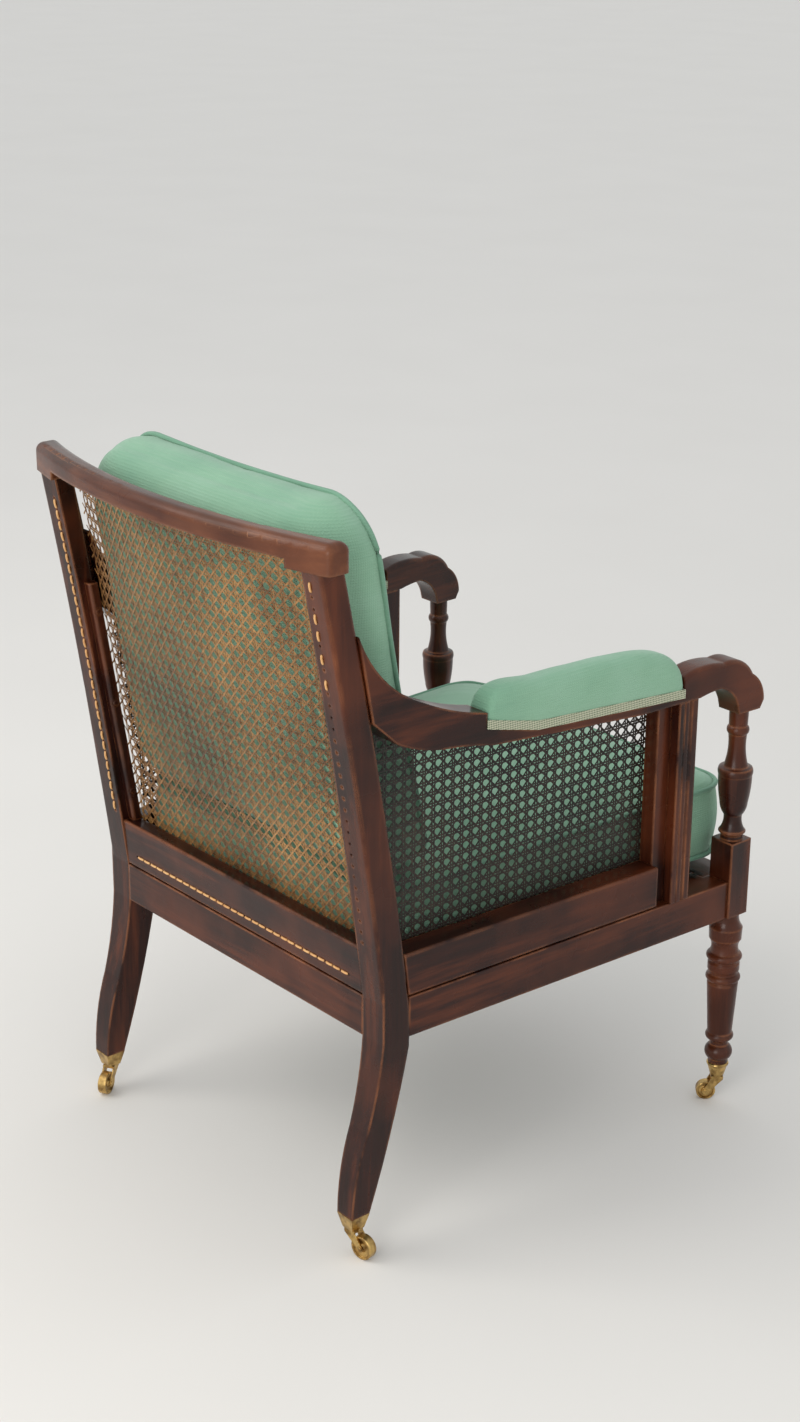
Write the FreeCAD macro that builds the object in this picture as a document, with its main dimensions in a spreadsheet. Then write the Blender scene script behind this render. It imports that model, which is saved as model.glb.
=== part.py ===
import FreeCAD, Part
import math
import os

import Sketcher

# A caned armchair on casters. Millimetres, +Z up, the chair faces -Y and its
# left side is +X. The origin is on the floor below the middle of the chair.

os.makedirs("parts", exist_ok=True)
Vector = FreeCAD.Vector
doc = FreeCAD.newDocument("chair")
sheet = doc.addObject("Spreadsheet::Sheet", "Sizes")

# Driving sizes. Each one is a plain number in a cell of the sheet.
DRIVING = {
    # Frame of the seat
    "rear_half_width": 290.0,      # outer faces of the rear posts at the seat
    "rear_face": 255.0,            # rear face of the posts at the seat
    "front_face": -369.0,          # front face of the leg blocks
    "side_splay": 0.0465,          # widening of the chair per mm towards the front
    "seat_low": 290.0,             # underside of the seat rails
    "seat_rail_height": 53.4,
    "side_rail_width": 54.0,
    "back_rail_width": 45.0,
    "front_rail_width": 50.0,
    "rail_setback": 2.0,           # side rails behind the outer face of the legs
    "tenon_length": 12.5,
    "tenon_thickness": 12.0,
    "tenon_shoulder": 9.0,         # rail above and below its tenon
    "joint_gap": 0.1,              # glue gap round tenons and dowels
    # Rear posts
    "post_width": 40.0,
    "post_depth": 41.0,
    "post_top_depth": 36.0,
    "post_top_height": 904.6,
    "post_rake_run": 90.0,         # top of the post behind its seat face
    "post_bow": 5.0,               # forward bow of the raked post
    "leg_run": 44.0,               # foot behind the seat face
    "foot_width": 29.0,
    "foot_depth": 28.0,
    "foot_height": 59.0,           # bottom edge of the bare wood, at the cup
    "heel_bow": 5.0,               # rearward swell of the lower leg
    "hollow_bow": 3.0,             # hollow below the seat, behind
    "shin_bow": 4.0,
    "foot_taper_in": 6.6,          # outer face of the foot inside the seat's
    "top_taper_in": 6.0,
    "post_rounding": 4.0,
    "cane_rebate_width": 18.0,
    "cane_hole_pitch": 15.0,
    "cane_hole_radius": 1.8,
    "cane_hole_inset": 12.0,       # holes from the inner face of the post
    "cane_holes": 31,
    "crest_tenon_width": 22.0,
    "crest_tenon_depth": 13.0,
    "crest_tenon_height": 20.0,
    # Crest rail
    "crest_half_length": 297.0,
    "crest_top": 941.0,
    "crest_thickness": 34.0,
    "crest_rear_bow": 44.0,
    "crest_front_bow": 48.0,
    "cane_bow": 41.0,              # rearward bow of the cane under the crest
    "crest_relief": 11.0,          # underside between the posts above their tops
    "crest_cap": 60.0,             # length of each end that caps a post
    "crest_rounding": 11.0,
    "cane_overlap_top": 20.0,
    # Back
    "lower_back_height": 67.6,
    "lower_back_lean": 6.5,
    "lower_back_holes": 31,
    "lower_back_hole_rise": 20.0,
    "groove_height": 3.5,
    "groove_depth": 4.0,
    "cane_seat_offset": 27.0,      # cane in front of the posts' rear face, at the seat
    "cane_top_offset": 26.6,
    "cane_thickness": 2.4,
    "back_net_pitch": 36.0,
    "side_net_pitch": 20.0,
    "seat_net_pitch": 28.0,
    "strip_thickness": 12.0,
    "strip_depth": 13.0,
    "strip_top": 758.0,
    "plug_radius": 4.5,
    "plug_proud": 0.6,
    # Side frames
    "lower_side_height": 58.6,
    "side_frame_width": 36.0,
    "upright_rear": -221.5,
    "upright_depth": 32.0,
    "stile_depth": 23.5,
    "stile_recess": 14.0,
    "bead_radius": 3.0,
    # Arms
    "arm_soffit": 626.5,           # flat underside over the upright and support
    "arm_rounding": 5.0,
    "pad_front": -228.0,
    "pad_rear": 101.0,
    "pad_foot_front": 633.0,
    "pad_foot_middle": 648.0,
    "pad_foot_rear": 667.0,
    "pad_core_height": 14.0,
    "pad_core_inset": 5.0,
    "pad_crown": 69.0,             # middle of the pad above its foot
    "pad_bulge": 4.0,
    "pad_gap": 0.4,
    "gimp_height": 12.0,
    "gimp_thickness": 1.5,
    "cover_thickness": 1.6,
    # Front legs
    "block_width": 38.0,
    "block_top": 400.0,
    "support_top": 587.0,
    "support_tenon_radius": 7.0,
    "support_tenon_length": 16.0,
    "crook_cup_radius": 19.0,      # half depth of the block over the support
    "front_foot_radius": 14.0,
    # Cushions
    "seat_cushion_front": -379.0,
    "seat_cushion_rear": 221.0,
    "seat_cushion_front_half": 262.0,
    "seat_cushion_rear_half": 246.0,
    "seat_cushion_low_crown": 18.0,
    "seat_cushion_side": 97.0,     # height of the boxed side
    "seat_cushion_crown": 30.0,
    "seat_cushion_corner": 42.0,
    "cushion_bulge": 5.0,
    "cushion_draw": 5.0,           # sides of a cushion drawn in between its corners
    "back_cushion_half": 243.0,
    "back_cushion_height": 474.0,
    "back_cushion_side": 88.0,
    "back_cushion_crown": 28.0,
    "back_cushion_rear_crown": 20.0,
    "cushion_crown_reach": 130.0,  # from a seam to the flat middle of the crown
    "back_cushion_corner": 62.0,
    "back_cushion_low_corner": 34.0,
    "cushion_gap": 0.4,
    # Seat frame fittings
    "corner_block_leg": 58.0,
    "corner_block_height": 32.0,
    "corner_screw_inset": 20.0,
    "screw_radius": 2.2,
    "screw_head_radius": 4.0,
    "screw_length": 38.0,
    "screw_bite": 18.0,            # length of a screw in the rail
    "dowel_radius": 4.0,
    "dowel_length": 30.0,
    # Casters
    "rear_wheel_radius": 16.0,
    "front_wheel_radius": 13.5,
    "wheel_width": 12.0,
    "rear_trail": 17.0,
    "front_trail": 15.0,
    "axle_radius": 2.0,
    "axle_clearance": 0.06,
    "ear_thickness": 2.0,
    "ear_gap": 0.4,
    "spindle_radius": 3.2,
    "spindle_clearance": 0.06,
    "cup_low": 38.0,
    "cup_wall": 1.5,
    "cup_floor": 2.0,
    "cup_low_half": 9.5,           # half width of a cup at its floor
    "fork_crown": 3.3,
    "spindle_head": 2.0,           # rivet head wider than its spindle
    "turn_front_left": 60.0,       # degrees that each caster trails round from the rear
    "turn_front_right": -40.5,
    "turn_rear_left": 30.5,
    "turn_rear_right": 100.0,
}

for row, (alias, number) in enumerate(DRIVING.items(), 1):
    sheet.set("A%d" % row, alias.replace("_", " "))
    sheet.set("B%d" % row, str(number))
    sheet.setAlias("B%d" % row, alias)
doc.recompute()


class Size:
    """A number and the sheet formula that it comes from."""

    def __init__(self, value, text):
        self.value = float(value)
        self.text = text

    def __add__(self, other):
        other = as_size(other)
        return Size(self.value + other.value, "(%s + %s)" % (self.text, other.text))

    def __sub__(self, other):
        other = as_size(other)
        return Size(self.value - other.value, "(%s - %s)" % (self.text, other.text))

    def __mul__(self, other):
        other = as_size(other)
        return Size(self.value * other.value, "(%s * %s)" % (self.text, other.text))

    def __truediv__(self, other):
        other = as_size(other)
        return Size(self.value / other.value, "(%s / %s)" % (self.text, other.text))

    def __radd__(self, other):
        return as_size(other) + self

    def __rsub__(self, other):
        return as_size(other) - self

    def __rmul__(self, other):
        return as_size(other) * self

    def __neg__(self):
        return Size(-self.value, "(0 - %s)" % self.text)


def as_size(item):
    """The item as a Size, so that plain numbers mix with the sheet's cells."""
    if isinstance(item, Size):
        return item
    return Size(item, "(%r)" % float(item))


def sine(degrees):
    return Size(math.sin(math.radians(degrees.value)), "sin(%s * 1 deg)" % degrees.text)


def cosine(degrees):
    return Size(math.cos(math.radians(degrees.value)), "cos(%s * 1 deg)" % degrees.text)


class Sheet:
    """The driving sizes by name: mm.post_width is the sheet's cell of that alias."""

    def __getattr__(self, alias):
        return Size(sheet.get(alias), "Sizes." + alias)


mm = Sheet()
SIDES = {"left": 1, "right": -1}


def bind(item, path, size):
    item.setExpression(path, as_size(size).text)


def place(item, x=0, y=0, z=0):
    for axis, size in zip("xyz", (x, y, z)):
        bind(item, "Placement.Base." + axis, size)


def new_body(label):
    body = doc.addObject("PartDesign::Body", "Body_" + label)
    body.Label = label
    return body


def origin_item(body, role):
    return [item for item in body.Origin.OriginFeatures if item.Role == role][0]


def arc_points(start, end, rise):
    """Centre, radius and angles of the arc that leaves its chord by rise, to the left."""
    chord = end - start
    half = chord.Length / 2.0
    left = Vector(-chord.y, chord.x, 0).normalize()
    radius = (half * half + rise * rise) / (2.0 * rise)
    centre = (start + end) * 0.5 + left * (rise - radius)
    first = math.atan2(start.y - centre.y, start.x - centre.x)
    last = math.atan2(end.y - centre.y, end.x - centre.x)
    return centre, abs(radius), first, last


def outline(body, name, plane, corners, offset=0):
    """A closed sketch. A corner is (u, v) or (u, v, rise): rise bows the edge that ends there."""
    sketch = body.newObject("Sketcher::SketchObject", name)
    sketch.AttachmentSupport = [(origin_item(body, plane), "")]
    sketch.MapMode = "FlatFace"
    bind(sketch, "AttachmentOffset.Base.z", offset)
    add_loop(sketch, corners)
    return sketch


def add_loop(sketch, corners):
    sizes = [[as_size(item) for item in corner] for corner in corners]
    points = [Vector(corner[0].value, corner[1].value, 0) for corner in sizes]
    first_edge = sketch.GeometryCount
    edges, ends, rules = [], [], []
    for index, corner in enumerate(sizes):
        start, end = points[index - 1], points[index]
        number = first_edge + index
        if len(corner) == 3:
            rise = corner[2].value
            centre, radius, first, last = arc_points(start, end, rise)
            circle = Part.Circle(centre, Vector(0, 0, 1), radius)
            if rise < 0:
                edges.append(Part.ArcOfCircle(circle, first, last))
                ends.append((number, 1, 2))
            else:
                edges.append(Part.ArcOfCircle(circle, last, first))
                ends.append((number, 2, 1))
        else:
            edges.append(Part.LineSegment(start, end))
            ends.append((number, 1, 2))
    sketch.addGeometry(edges, False)
    formulas = []
    for index, corner in enumerate(sizes):
        edge, start_id, end_id = ends[index]
        following, next_start, _ = ends[(index + 1) % len(ends)]
        rules.append(Sketcher.Constraint("Coincident", edge, end_id, following, next_start))
        formulas.append(None)
        rules.append(Sketcher.Constraint("DistanceX", -1, 1, edge, end_id, points[index].x))
        formulas.append(corner[0].text)
        rules.append(Sketcher.Constraint("DistanceY", -1, 1, edge, end_id, points[index].y))
        formulas.append(corner[1].text)
        if len(corner) == 3:
            before = sizes[index - 1]
            across = corner[0] - before[0]
            along = corner[1] - before[1]
            rise = corner[2] if corner[2].value > 0 else -corner[2]
            chord = across * across + along * along
            radius = (chord / 4 + rise * rise) / (2 * rise)
            rules.append(Sketcher.Constraint("Radius", edge, radius.value))
            formulas.append(radius.text)
    count = sketch.ConstraintCount
    sketch.addConstraint(rules)
    for index, formula in enumerate(formulas):
        if formula:
            sketch.setExpression("Constraints[%d]" % (count + index), formula)


def extrude(body, kind, name, sketch, length, both_ways=True, reverse=False):
    feature = body.newObject("PartDesign::" + kind, name)
    feature.Profile = sketch
    feature.SideType = "Symmetric" if both_ways else "One side"
    feature.Reversed = reverse
    bind(feature, "Length", length)
    return feature


def turn(body, name, sketch, axis="V_Axis"):
    feature = body.newObject("PartDesign::Revolution", name)
    feature.Profile = sketch
    feature.ReferenceAxis = (sketch, [axis])
    feature.Angle = 360
    return feature


def block(body, kind, name, low, high):
    feature = body.newObject("PartDesign::%sBox" % kind, name)
    names = ("Length", "Width", "Height")
    for size_name, axis, start, end in zip(names, "xyz", low, high):
        bind(feature, size_name, as_size(end) - start)
        bind(feature, "Placement.Base." + axis, start)
    return feature


AXIS_TURNS = {
    "x": FreeCAD.Rotation(Vector(0, 1, 0), 90),
    "y": FreeCAD.Rotation(Vector(1, 0, 0), -90),
    "z": FreeCAD.Rotation(),
}


def rod(body, kind, name, radius, length, base, axis="z"):
    feature = body.newObject("PartDesign::%sCylinder" % kind, name)
    feature.Placement = FreeCAD.Placement(Vector(), AXIS_TURNS[axis])
    bind(feature, "Radius", radius)
    bind(feature, "Height", length)
    place(feature, *base)
    return feature


def soften(body, name, radius, wanted, kind="Fillet"):
    """Rounds the edges of the body's last feature for which wanted(edge) is true."""
    doc.recompute()
    base = body.Tip
    found = ["Edge%d" % (number + 1) for number, edge in enumerate(base.Shape.Edges) if wanted(edge)]
    if not found:
        raise RuntimeError("no edge to soften in " + body.Label)
    feature = body.newObject("PartDesign::" + kind, name)
    feature.Base = (base, found)
    bind(feature, "Size" if kind == "Chamfer" else "Radius", radius)
    return feature


def x_span(side, near, far):
    """Lowest and highest x of a stretch given by its distances from the middle plane."""
    return (near, far) if side > 0 else (-far, -near)


def outer_x(y):
    """Half width over the sides of the chair at y."""
    return mm.rear_half_width + mm.side_splay * (mm.rear_face - y)


# Heights and places that the driving sizes give
seat_top = mm.seat_low + mm.seat_rail_height
post_inner = mm.rear_half_width - mm.post_width
post_front = mm.rear_face - mm.post_depth
post_top_rear = mm.rear_face + mm.post_rake_run
post_top_front = post_top_rear - mm.post_top_depth
post_rise = mm.post_top_height - seat_top
lower_back_top = seat_top + mm.lower_back_height
lower_side_top = seat_top + mm.lower_side_height
cane_low_y = mm.rear_face - mm.cane_seat_offset
cane_top_y = post_top_rear - mm.cane_top_offset
cane_slope = (cane_top_y - cane_low_y) / post_rise
leg_x = outer_x(mm.front_face) - mm.block_width / 2
leg_y = mm.front_face + mm.block_width / 2
block_rear = mm.front_face + mm.block_width
block_inner = leg_x - mm.block_width / 2
upright_front = mm.upright_rear - mm.upright_depth
stile_rear = mm.upright_rear + mm.stile_depth
LOOSE = mm.joint_gap


def cane_y(z):
    """The rear face of the back cane at height z, at the posts."""
    return cane_low_y + cane_slope * (z - seat_top)


def post_front_y(z):
    """The front face of a raked post at height z."""
    share = (z - seat_top) / post_rise
    chord = post_front + (post_top_front - post_front) * share
    return chord - 4 * mm.post_bow * share * (1 - share)


def side_rail_inner(y):
    """Half width between the side seat rails at y."""
    return outer_x(y) - mm.rail_setback - mm.side_rail_width


def cane_row(rear, bow):
    """The cane's rear face in plan: flat at the posts, bowed between the strips."""
    flat = post_inner - mm.strip_thickness - 2
    wide = post_inner + mm.cane_rebate_width - LOOSE
    shares = [2.0 * number / CANE_FACETS - 1 for number in range(CANE_FACETS + 1)]
    row = [(flat * share, rear + bow * (1 - share * share)) for share in shares]
    return [(-wide, rear)] + row + [(wide, rear)]


CANE_FACETS = 8

# Places that two or more pieces share
tenon_low = mm.seat_low + mm.tenon_shoulder
tenon_high = seat_top - mm.tenon_shoulder
tenon_half = mm.tenon_thickness / 2
side_tenon_rear_x = mm.rear_half_width - mm.post_width / 2
back_rail_front = mm.rear_face - mm.back_rail_width
back_tenon_y = mm.rear_face - mm.back_rail_width / 2
lower_tenon_half = tenon_half - 1
lower_tenon_y = mm.rear_face - 10
lower_tenon_low = seat_top + 8
lower_tenon_high = lower_back_top - 10
crest_tenon_x = mm.rear_half_width - mm.post_width / 2 - 1
crest_tenon_y = post_top_rear - mm.cane_top_offset / 2 + 1
arm_dowel_z = mm.arm_soffit + 140
arm_dowel_y = post_front_y(arm_dowel_z)
arm_dowel_x = outer_x(arm_dowel_y) - mm.side_frame_width / 2 + 2
cane_hole_low = lower_back_top + 12
foot_in = mm.rear_half_width - mm.foot_taper_in
foot_x = foot_in - mm.foot_width / 2
foot_y = mm.rear_face + mm.leg_run - mm.foot_depth / 2
cup_top = mm.foot_height - 0.2
wood_low = mm.cup_low + mm.cup_floor + 0.3
wood_low_half = mm.cup_low_half - mm.cup_wall - 0.2
upright_mid_y = (mm.upright_rear + upright_front) / 2
upright_mid_x = outer_x(upright_mid_y) - mm.side_frame_width / 2
front_rail_face = mm.front_face + 1
front_rail_rear = front_rail_face + mm.front_rail_width
block_low = mm.seat_low + 6
screw_low = block_low + mm.corner_block_height / 2 - 7
screw_high = screw_low + 14


def corner_screws(side, rear):
    """Where the two screws of a corner block cross into the rails, in plan."""
    face = back_rail_front if rear else front_rail_rear
    inward = -1 if rear else 1
    across = face + inward * mm.corner_screw_inset
    along = side_rail_inner(across) - mm.corner_screw_inset
    return {
        "rail_screw": (side * along, face),
        "side_screw": (side * side_rail_inner(across), across),
        "inward": inward,
    }


def rear_post(name, side):
    body = new_body("rear_post_" + name)
    foot_rear = mm.rear_face + mm.leg_run
    foot_front = foot_rear - mm.foot_depth
    middle = (mm.seat_low + mm.foot_height) / 2
    profile = outline(body, "Side", "YZ_Plane", [
        (post_front, mm.seat_low),
        (post_front, mm.seat_low - 14),
        (foot_front, mm.foot_height, -mm.shin_bow),
        (foot_rear, mm.foot_height),
        (mm.rear_face + mm.leg_run / 2, middle, -mm.heel_bow),
        (mm.rear_face, mm.seat_low, mm.hollow_bow),
        (mm.rear_face, seat_top),
        (post_top_rear, mm.post_top_height, mm.post_bow),
        (post_top_front, mm.post_top_height),
        (post_front, seat_top, -mm.post_bow),
    ], side * (mm.rear_half_width - mm.post_width / 2))
    extrude(body, "Pad", "Blank", profile, mm.post_width)
    outside = mm.rear_half_width + 5
    taper_start = seat_top + 150
    outer_taper = outline(body, "OuterTaper", "XZ_Plane", [
        (side * mm.rear_half_width, mm.seat_low),
        (side * foot_in, mm.foot_height - 5),
        (side * outside, mm.foot_height - 5),
        (side * outside, mm.seat_low),
    ])
    extrude(body, "Pocket", "OuterTaperCut", outer_taper, 1200)
    inner_taper = outline(body, "InnerTaper", "XZ_Plane", [
        (side * post_inner, mm.seat_low),
        (side * (foot_in - mm.foot_width), mm.foot_height - 5),
        (side * (post_inner - 5), mm.foot_height - 5),
        (side * (post_inner - 5), mm.seat_low),
    ])
    extrude(body, "Pocket", "InnerTaperCut", inner_taper, 1200)
    top_taper = outline(body, "TopTaper", "XZ_Plane", [
        (side * mm.rear_half_width, taper_start),
        (side * (mm.rear_half_width - mm.top_taper_in), mm.post_top_height + 1),
        (side * outside, mm.post_top_height + 1),
        (side * outside, taper_start),
    ])
    extrude(body, "Pocket", "TopTaperCut", top_taper, 1200)

    def long_outer_edge(edge):
        box = edge.BoundBox
        far_out = side * box.Center.x > (mm.rear_half_width - mm.post_width / 2).value
        return far_out and box.ZLength > 30 and box.ZMin > seat_top.value - 5

    soften(body, "OuterRounding", mm.post_rounding, long_outer_edge)
    rebate = outline(body, "CaneRebate", "YZ_Plane", [
        (cane_y(seat_top), seat_top),
        (cane_y(mm.post_top_height + 2), mm.post_top_height + 2),
        (post_front - 20, mm.post_top_height + 2),
        (post_front - 20, seat_top),
    ], side * (post_inner + mm.cane_rebate_width / 2))
    extrude(body, "Pocket", "CaneRebateCut", rebate, mm.cane_rebate_width)
    half = tenon_half + LOOSE
    deep = mm.tenon_length + LOOSE
    low, high = x_span(side, post_inner - 1, post_inner + deep)
    block(body, "Subtractive", "BackRailMortise",
          (low, back_tenon_y - half, tenon_low - LOOSE), (high, back_tenon_y + half, tenon_high + LOOSE))
    low, high = x_span(side, side_tenon_rear_x - half, side_tenon_rear_x + half)
    block(body, "Subtractive", "SideRailMortise",
          (low, post_front - 1, tenon_low - LOOSE), (high, post_front + deep, tenon_high + LOOSE))
    low, high = x_span(side, post_inner - 1, post_inner + deep)
    block(body, "Subtractive", "LowerBackRailMortise",
          (low, lower_tenon_y - lower_tenon_half - LOOSE, lower_tenon_low - LOOSE),
          (high, lower_tenon_y + lower_tenon_half + LOOSE, lower_tenon_high + LOOSE))
    crest_tenon = (crest_tenon_x - mm.crest_tenon_width / 2, crest_tenon_x + mm.crest_tenon_width / 2)
    low, high = x_span(side, *crest_tenon)
    block(body, "Additive", "CrestTenon",
          (low, crest_tenon_y - mm.crest_tenon_depth / 2, mm.post_top_height - 1),
          (high, crest_tenon_y + mm.crest_tenon_depth / 2, mm.post_top_height + mm.crest_tenon_height))
    rod(body, "Subtractive", "ArmDowelHole", mm.dowel_radius + LOOSE, mm.dowel_length,
        (side * arm_dowel_x, arm_dowel_y - mm.dowel_length / 2, arm_dowel_z), "y")
    hole = rod(body, "Subtractive", "CaneHole", mm.cane_hole_radius, 200,
               (side * (post_inner + mm.cane_hole_inset), mm.rear_face - 80, cane_hole_low), "y")
    doc.recompute()
    holes = body.newObject("PartDesign::LinearPattern", "CaneHoles")
    holes.Originals = [hole]
    holes.Direction = (origin_item(body, "Z_Axis"), [""])
    holes.Mode = "Spacing"
    bind(holes, "Offset", mm.cane_hole_pitch)
    bind(holes, "Occurrences", mm.cane_holes)
    body.Tip = holes
    top_half = mm.foot_width / 2 - mm.cup_wall
    sections = [
        square(body, "FootTop", side * foot_x, foot_y, top_half, mm.foot_height),
        square(body, "FootLow", side * foot_x, foot_y, wood_low_half, wood_low),
    ]
    foot = body.newObject("PartDesign::AdditiveLoft", "FootInCup")
    foot.Profile = sections[0]
    foot.Sections = [sections[1]]
    foot.Ruled = True
    rod(body, "Subtractive", "SpindleRoom", mm.spindle_radius + mm.spindle_head + 0.5, 12,
        (side * foot_x, foot_y, wood_low - 1))
    return body


def square(body, name, x, y, half, z):
    return outline(body, name, "XY_Plane", [
        (x - half, y - half),
        (x + half, y - half),
        (x + half, y + half),
        (x - half, y + half),
    ], z)


def loft(body, kind, name, sections):
    feature = body.newObject("PartDesign::%sLoft" % kind, name)
    feature.Profile = sections[0]
    feature.Sections = sections[1:]
    feature.Ruled = True
    return feature


def row_of(body, name, feature, role, pitch, count):
    """Repeats the feature at a pitch along one of the body's axes."""
    doc.recompute()
    pattern = body.newObject("PartDesign::LinearPattern", name)
    pattern.Originals = [feature]
    pattern.Direction = (origin_item(body, role), [""])
    pattern.Mode = "Spacing"
    bind(pattern, "Offset", pitch)
    bind(pattern, "Occurrences", count)
    body.Tip = pattern


def crest_rail():
    body = new_body("crest_rail")
    end_rear = post_top_rear - 3
    end_front = end_rear - mm.crest_thickness
    long = mm.crest_half_length
    plan = outline(body, "Plan", "XY_Plane", [
        (long, end_rear),
        (-long, end_rear, -mm.crest_rear_bow),
        (-long, end_front),
        (long, end_front, mm.crest_front_bow),
    ], mm.post_top_height)
    extrude(body, "Pad", "Blank", plan, mm.crest_top - mm.post_top_height, both_ways=False)
    soften(body, "EndRounding", 7, lambda edge: edge.BoundBox.ZLength > 20)
    top = mm.crest_top.value
    soften(body, "TopRounding", mm.crest_rounding, lambda edge: edge.BoundBox.ZMin > top - 0.1)
    half = mm.crest_half_length - mm.crest_cap
    block(body, "Subtractive", "Relief",
          (-half, post_top_front - 40, mm.post_top_height - 1),
          (half, post_top_rear + 90, mm.post_top_height + mm.crest_relief))
    wall = cane_y(mm.post_top_height + mm.cane_overlap_top) + LOOSE
    wide = post_inner + mm.cane_rebate_width
    rebate = outline(body, "CaneRebate", "XY_Plane", cane_row(wall, mm.cane_bow) + [
        (wide, end_front - 60),
        (-wide, end_front - 60),
    ], mm.post_top_height - 1)
    extrude(body, "Pocket", "CaneRebateCut", rebate, mm.cane_overlap_top + 1, False, True)
    for name, side in SIDES.items():
        half_x = mm.crest_tenon_width / 2 + LOOSE
        half_y = mm.crest_tenon_depth / 2 + LOOSE
        low, high = x_span(side, crest_tenon_x - half_x, crest_tenon_x + half_x)
        block(body, "Subtractive", "Mortise_" + name,
              (low, crest_tenon_y - half_y, mm.post_top_height - 1),
              (high, crest_tenon_y + half_y, mm.post_top_height + mm.crest_tenon_height + LOOSE))


def lower_back_rail():
    body = new_body("lower_back_rail")
    groove = mm.rear_face - mm.groove_depth
    section = outline(body, "Section", "YZ_Plane", [
        (groove, seat_top),
        (groove, seat_top + mm.groove_height),
        (mm.rear_face, seat_top + mm.groove_height),
        (mm.rear_face + mm.lower_back_lean, lower_back_top),
        (cane_y(lower_back_top), lower_back_top),
        (cane_low_y, seat_top),
    ])
    extrude(body, "Pad", "Rail", section, 2 * post_inner)
    top = lower_back_top.value
    rear = mm.rear_face.value
    soften(body, "TopRounding", 3, lambda edge: edge.BoundBox.XLength > 100
           and edge.BoundBox.ZMin > top - 0.1 and edge.BoundBox.YMin > rear)
    reach = post_inner + mm.tenon_length
    block(body, "Additive", "Tenons",
          (-reach, lower_tenon_y - lower_tenon_half, lower_tenon_low),
          (reach, lower_tenon_y + lower_tenon_half, lower_tenon_high))
    half_row = mm.cane_hole_pitch * (mm.lower_back_holes - 1) / 2
    hole = rod(body, "Subtractive", "CaneHole", mm.cane_hole_radius, 100,
               (-half_row, mm.rear_face - 80, seat_top + mm.lower_back_hole_rise), "y")
    row_of(body, "CaneHoles", hole, "X_Axis", mm.cane_hole_pitch, mm.lower_back_holes)


def plug_heights():
    low = lower_back_top + 45
    high = mm.strip_top - 40
    return [low, (low + high) / 2, high]


def back_strip(name, side):
    body = new_body("back_strip_" + name)
    top = mm.strip_top
    section = outline(body, "Section", "YZ_Plane", [
        (cane_y(lower_back_top), lower_back_top),
        (cane_y(lower_back_top) + mm.strip_depth, lower_back_top),
        (cane_y(top) + mm.strip_depth, top),
        (cane_y(top), top),
    ], side * (post_inner - mm.strip_thickness / 2))
    extrude(body, "Pad", "Strip", section, mm.strip_thickness)
    inner = (post_inner - mm.strip_thickness).value
    rear = (cane_y(lower_back_top) + mm.strip_depth).value
    soften(body, "RearRounding", 3.5, lambda edge: edge.BoundBox.ZLength > 100
           and abs(abs(edge.BoundBox.Center.x) - inner) < 0.1 and edge.BoundBox.YMin > rear - 0.5)
    for number, height in enumerate(plug_heights()):
        low = x_span(side, post_inner - mm.strip_thickness - 1, post_inner - mm.strip_thickness + 5)[0]
        rod(body, "Subtractive", "PlugHole%d" % number, mm.plug_radius + LOOSE / 2, 6,
            (low, cane_y(height) + mm.strip_depth / 2, height), "x")


def loose_rod(name, radius, length, base, axis="z"):
    rod_item = doc.addObject("Part::Cylinder", name)
    rod_item.Placement = FreeCAD.Placement(Vector(), AXIS_TURNS[axis])
    bind(rod_item, "Radius", radius)
    bind(rod_item, "Height", length)
    place(rod_item, *base)
    return rod_item


def group(label, members):
    """Identical loose pieces under one name, each a solid of its own."""
    item = doc.addObject("Part::Compound", "Group_" + label)
    item.Label = label
    item.Links = members
    return item


def back_strip_plugs():
    plugs = []
    for name, side in SIDES.items():
        face = post_inner - mm.strip_thickness
        low = x_span(side, face - mm.plug_proud, face + 5 - LOOSE)[0]
        for number, height in enumerate(plug_heights()):
            plugs.append(loose_rod("Plug_%s_%d" % (name, number), mm.plug_radius,
                                   5 - LOOSE + mm.plug_proud,
                                   (low, cane_y(height) + mm.strip_depth / 2, height), "x"))
    group("back_strip_plugs", plugs)


def seat_rail_back():
    body = new_body("seat_rail_back")
    block(body, "Additive", "Rail", (-post_inner, back_rail_front, mm.seat_low),
          (post_inner, mm.rear_face, seat_top))
    reach = post_inner + mm.tenon_length
    block(body, "Additive", "Tenons", (-reach, back_tenon_y - tenon_half, tenon_low),
          (reach, back_tenon_y + tenon_half, tenon_high))
    for name, side in SIDES.items():
        x, y = corner_screws(side, True)["rail_screw"]
        rod(body, "Subtractive", "ScrewHole_" + name, mm.screw_radius + 0.05, 40,
            (x, y - 20, screw_high), "y")


def seat_rail_front():
    body = new_body("seat_rail_front")
    block(body, "Additive", "Rail", (-block_inner, front_rail_face, mm.seat_low),
          (block_inner, front_rail_rear, seat_top))
    low_front = mm.seat_low.value
    soften(body, "LowEdge", 2, lambda edge: edge.BoundBox.XLength > 100
           and edge.BoundBox.ZMax < low_front + 0.1 and edge.BoundBox.YMax < front_rail_face.value + 0.1)
    reach = block_inner + mm.tenon_length
    block(body, "Additive", "Tenons", (-reach, leg_y - tenon_half, tenon_low),
          (reach, leg_y + tenon_half, tenon_high))
    for name, side in SIDES.items():
        x, y = corner_screws(side, False)["rail_screw"]
        rod(body, "Subtractive", "ScrewHole_" + name, mm.screw_radius + 0.05, 40,
            (x, y - 20, screw_high), "y")


def side_strip_plan(side, start, end, near, far):
    """Plan of a strip along the splayed side, between two depths from its outer face."""
    return [
        (side * (outer_x(start) - near), start),
        (side * (outer_x(start) - far), start),
        (side * (outer_x(end) - far), end),
        (side * (outer_x(end) - near), end),
    ]


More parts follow.
